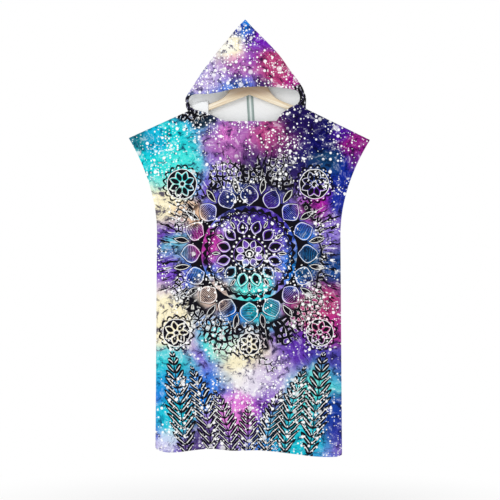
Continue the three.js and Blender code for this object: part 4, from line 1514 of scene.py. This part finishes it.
def drill_socket(body):
    """Drills the hole for the hook's wire into the top of the hub."""
    work = bmesh.new()
    radius = (WIRE_RADIUS + SOCKET_ROOM) * MM
    sizes = {"radius1": radius, "radius2": radius, "depth": 2 * SOCKET_DEEP * MM}
    bmesh.ops.create_cone(work, cap_ends=True, segments=32, **sizes)
    drill = new_object("drill", put_mesh(work, bpy.data.meshes.new("drill")))
    drill.location.z = HUB_TOP_Z * MM
    hole = body.modifiers.new("hole", "BOOLEAN")
    hole.object = drill
    hole.solver = "EXACT"
    settle_modifiers(body)
    bpy.data.objects.remove(drill)
    return body


def make_hanger_hook(material):
    """One wire: up from the socket, a bend out to the side, and the bowl over the top."""
    radius = BOWL_INNER + WIRE_RADIUS
    turns = np.radians(np.linspace(*BOWL_TURNS, 90))
    bowl = np.stack([radius * np.cos(turns), -BOWL_INNER + radius * np.sin(turns)], axis=-1)
    start = bowl[0]
    lead = np.array([-math.sin(turns[0]), math.cos(turns[0])])
    stem_top = np.array([0, start[1] - 2 * HOOK_BEND])
    bend = bezier((stem_top, stem_top + (0, HOOK_BEND), start - lead * HOOK_BEND, start), 30)
    stem = bezier(((0, HUB_TOP_Z - SOCKET_DEEP + STEM_OFF), stem_top), 20)
    line = np.concatenate([stem[:-1], bend[:-1], bowl])
    curve = bpy.data.curves.new("hook_wire", "CURVE")
    curve.dimensions = "3D"
    spline = curve.splines.new("POLY")
    ends = [line[-1] + (line[-1] - line[-2]) * steps for steps, _ in WIRE_END]
    radii = np.concatenate([np.ones(len(line)), [share for _, share in WIRE_END]])
    spline.points.add(len(radii) - 1)
    for point, (x, z), thick in zip(spline.points, np.concatenate([line, ends]), radii):
        point.co = (x * MM, 0, z * MM, 1)
        point.radius = thick
    curve.bevel_depth = WIRE_RADIUS * MM
    curve.bevel_resolution = 5
    curve.use_fill_caps = True
    curve.materials.append(material)
    hook = settle_modifiers(new_object("hanger_wire_hook", curve))
    hook.data.shade_smooth()
    return hook


def pale_wood():
    """Clear-varnished beech, its grain along the arms, with painted shade that browns the hub and the arms'
    inner ends.
    """
    n = Finish("pale_wood")
    x, y, z = n.parts(n.here())
    up = z + abs(x) * 0.40
    along = n.point(x * 7.0, y * 120.0, up * 120.0)
    grain = n.noise(along, 1.0, 4.0, 0.6, "3D")
    flecks = n.noise(n.point(x * 90.0, y * 700.0, up * 700.0), 1.0, 1.0, 0.5, "3D")
    shade = n.mix(n.rising(grain, 0.35, 0.70), colour("F3E8D2"), colour("DCC49E"))
    shade = n.mix(n.rising(flecks, 0.60, 0.72, 0.0, 0.22), shade, colour("B08D62"))
    # Painted shade: above about 135 mm below the hook, the hub and the arms' inner ends are browned to
    # stand for the shadow cast by the hood's front.
    shade = n.mix(n.rising(z + grain * 0.01, -0.135, -0.110, 0.0, 0.75), shade, colour("A08064"))
    normal = n.bump(grain + flecks * 0.4, 0.15, 0.0006)
    return n.done({"Base Color": shade, "Roughness": 0.42, "Normal": normal, "Coat Weight": 0.25})


def plated_steel():
    n = Finish("plated_steel")
    drawn = n.noise(n.here(), 900.0, 2.0, dimensions="3D")
    rough = n.rising(drawn, 0.3, 0.7, 0.16, 0.30)
    return n.done({"Base Color": colour("C9CCCF"), "Metallic": 1.0, "Roughness": rough})


# ---------------------------------------------------------------- the towel on its hanger

print_cloth = printed_towelling()
reverse_cloth = pale_towelling()

hood_form = crease_hood(hood_grid())
towel_front = make_panel("front_panel")
towel_back = make_panel("back_panel")
towel_hood = make_hood(hood_form)
for piece, node in ((towel_front, "front_panel"), (towel_back, "back_panel"), (towel_hood, "hood")):
    piece.data.materials.append(print_cloth)
    piece.data.materials.append(reverse_cloth)
    thicken(piece, WALL, reverse=1)
    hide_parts(node)

hood_allowance = make_hood_band(hood_form, overlocked_band())
side_allowances = make_side_allowances(reverse_cloth)
hem_turnings = make_hem_turnings(reverse_cloth)
lining_fold = make_lining_fold(reverse_cloth)
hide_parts("hood_seam_band")

stitches = stitch_nodes()
violet_thread = spun_thread("violet_thread", colour("8578B4"))
grey_thread = spun_thread("grey_green_thread", colour("98ABA8"))
front_stitches = sew(stitches, "front_stitches", panel_seam_lines("front_panel"), violet_thread, seed=3)
back_stitches = sew(stitches, "back_stitches", panel_seam_lines("back_panel"), violet_thread, seed=8)
hood_stitches = sew(stitches, "hood_stitches", hood_seam_lines(hood_form), violet_thread, seed=5)
OVERLOCKING = {"step": 0.0019, "length": 0.0044, "slant": 1.25}
overlock = sew(stitches, "hood_overlock", band_edge_lines(hood_form), grey_thread, **OVERLOCKING)

inside_strips = [hood_allowance, *side_allowances, *hem_turnings]
seam_rows = [front_stitches, back_stitches, hood_stitches]

hanger_wood = make_hanger_body(pale_wood())
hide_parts("hanger_body")
hanger_hook = make_hanger_hook(plated_steel())
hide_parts("hanger_hook")

towel = [towel_front, towel_back, towel_hood, *inside_strips, *seam_rows, overlock, lining_fold]
for piece in (*towel, hanger_wood, hanger_hook):
    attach(piece, "root")

# ---------------------------------------------------------------- stage

FLOOR_Z = -1.43


def pale_floor():
    """Pale under the towel, and lost in the white of the room farther off."""
    n = Finish("pale_floor")
    far = n.vector("LENGTH", n.here(), out=1)
    plain = n.add("BsdfPrincipled", sockets={"Base Color": colour("F7F7F7"), "Roughness": 0.9})
    lit = n.add("Emission", sockets={"Color": WHITE, "Strength": 1.0})
    lost = n.rising(far, 0.1, 1.3, 0.6, 1.0)
    n.end("Surface", n.add("MixShader", sockets={0: lost, 1: plain, 2: lit}))
    return n.material


floor_mesh = bpy.data.meshes.new("floor")
floor_mesh.from_pydata([(-4, -3.5, 0), (4, -3.5, 0), (4, 4.5, 0), (-4, 4.5, 0)], [], [(0, 1, 2, 3)])
floor_mesh.materials.append(pale_floor())
floor = new_object("floor", floor_mesh)
floor.location.z = FLOOR_Z


def studio_world():
    """White all round, and dimmer overhead."""
    world = bpy.data.worlds.new("studio")
    world.use_nodes = True
    n = Nodes(world.node_tree, "ShaderNodeOutputWorld")
    _, _, up = n.parts(n.add("TexCoord"))
    n.end("Surface", n.add("Background", sockets={"Color": n.rising(up, 0.25, 0.95, 1.0, 0.45)}))
    return world


bpy.context.scene.world = studio_world()

key_data = bpy.data.lights.new("key", "AREA")
key_data.shape = "DISK"
key_data.size = 1.8
key_data.energy = 48
key = new_object("key", key_data)
key.location = (-2.4, -3.4, 1.3)
key.rotation_euler = (Vector((0, 0, -0.6)) - key.location).to_track_quat("-Z", "Y").to_euler()

camera_data = bpy.data.cameras.new("camera")
camera = new_object("camera", camera_data)
camera_data.lens = 139
camera_data.sensor_width = 36
camera.location = (0.002, -6.0, -0.609)
camera.rotation_euler = (math.pi / 2, 0, 0)
bpy.context.scene.camera = camera
bpy.context.scene.view_settings.view_transform = "Standard"
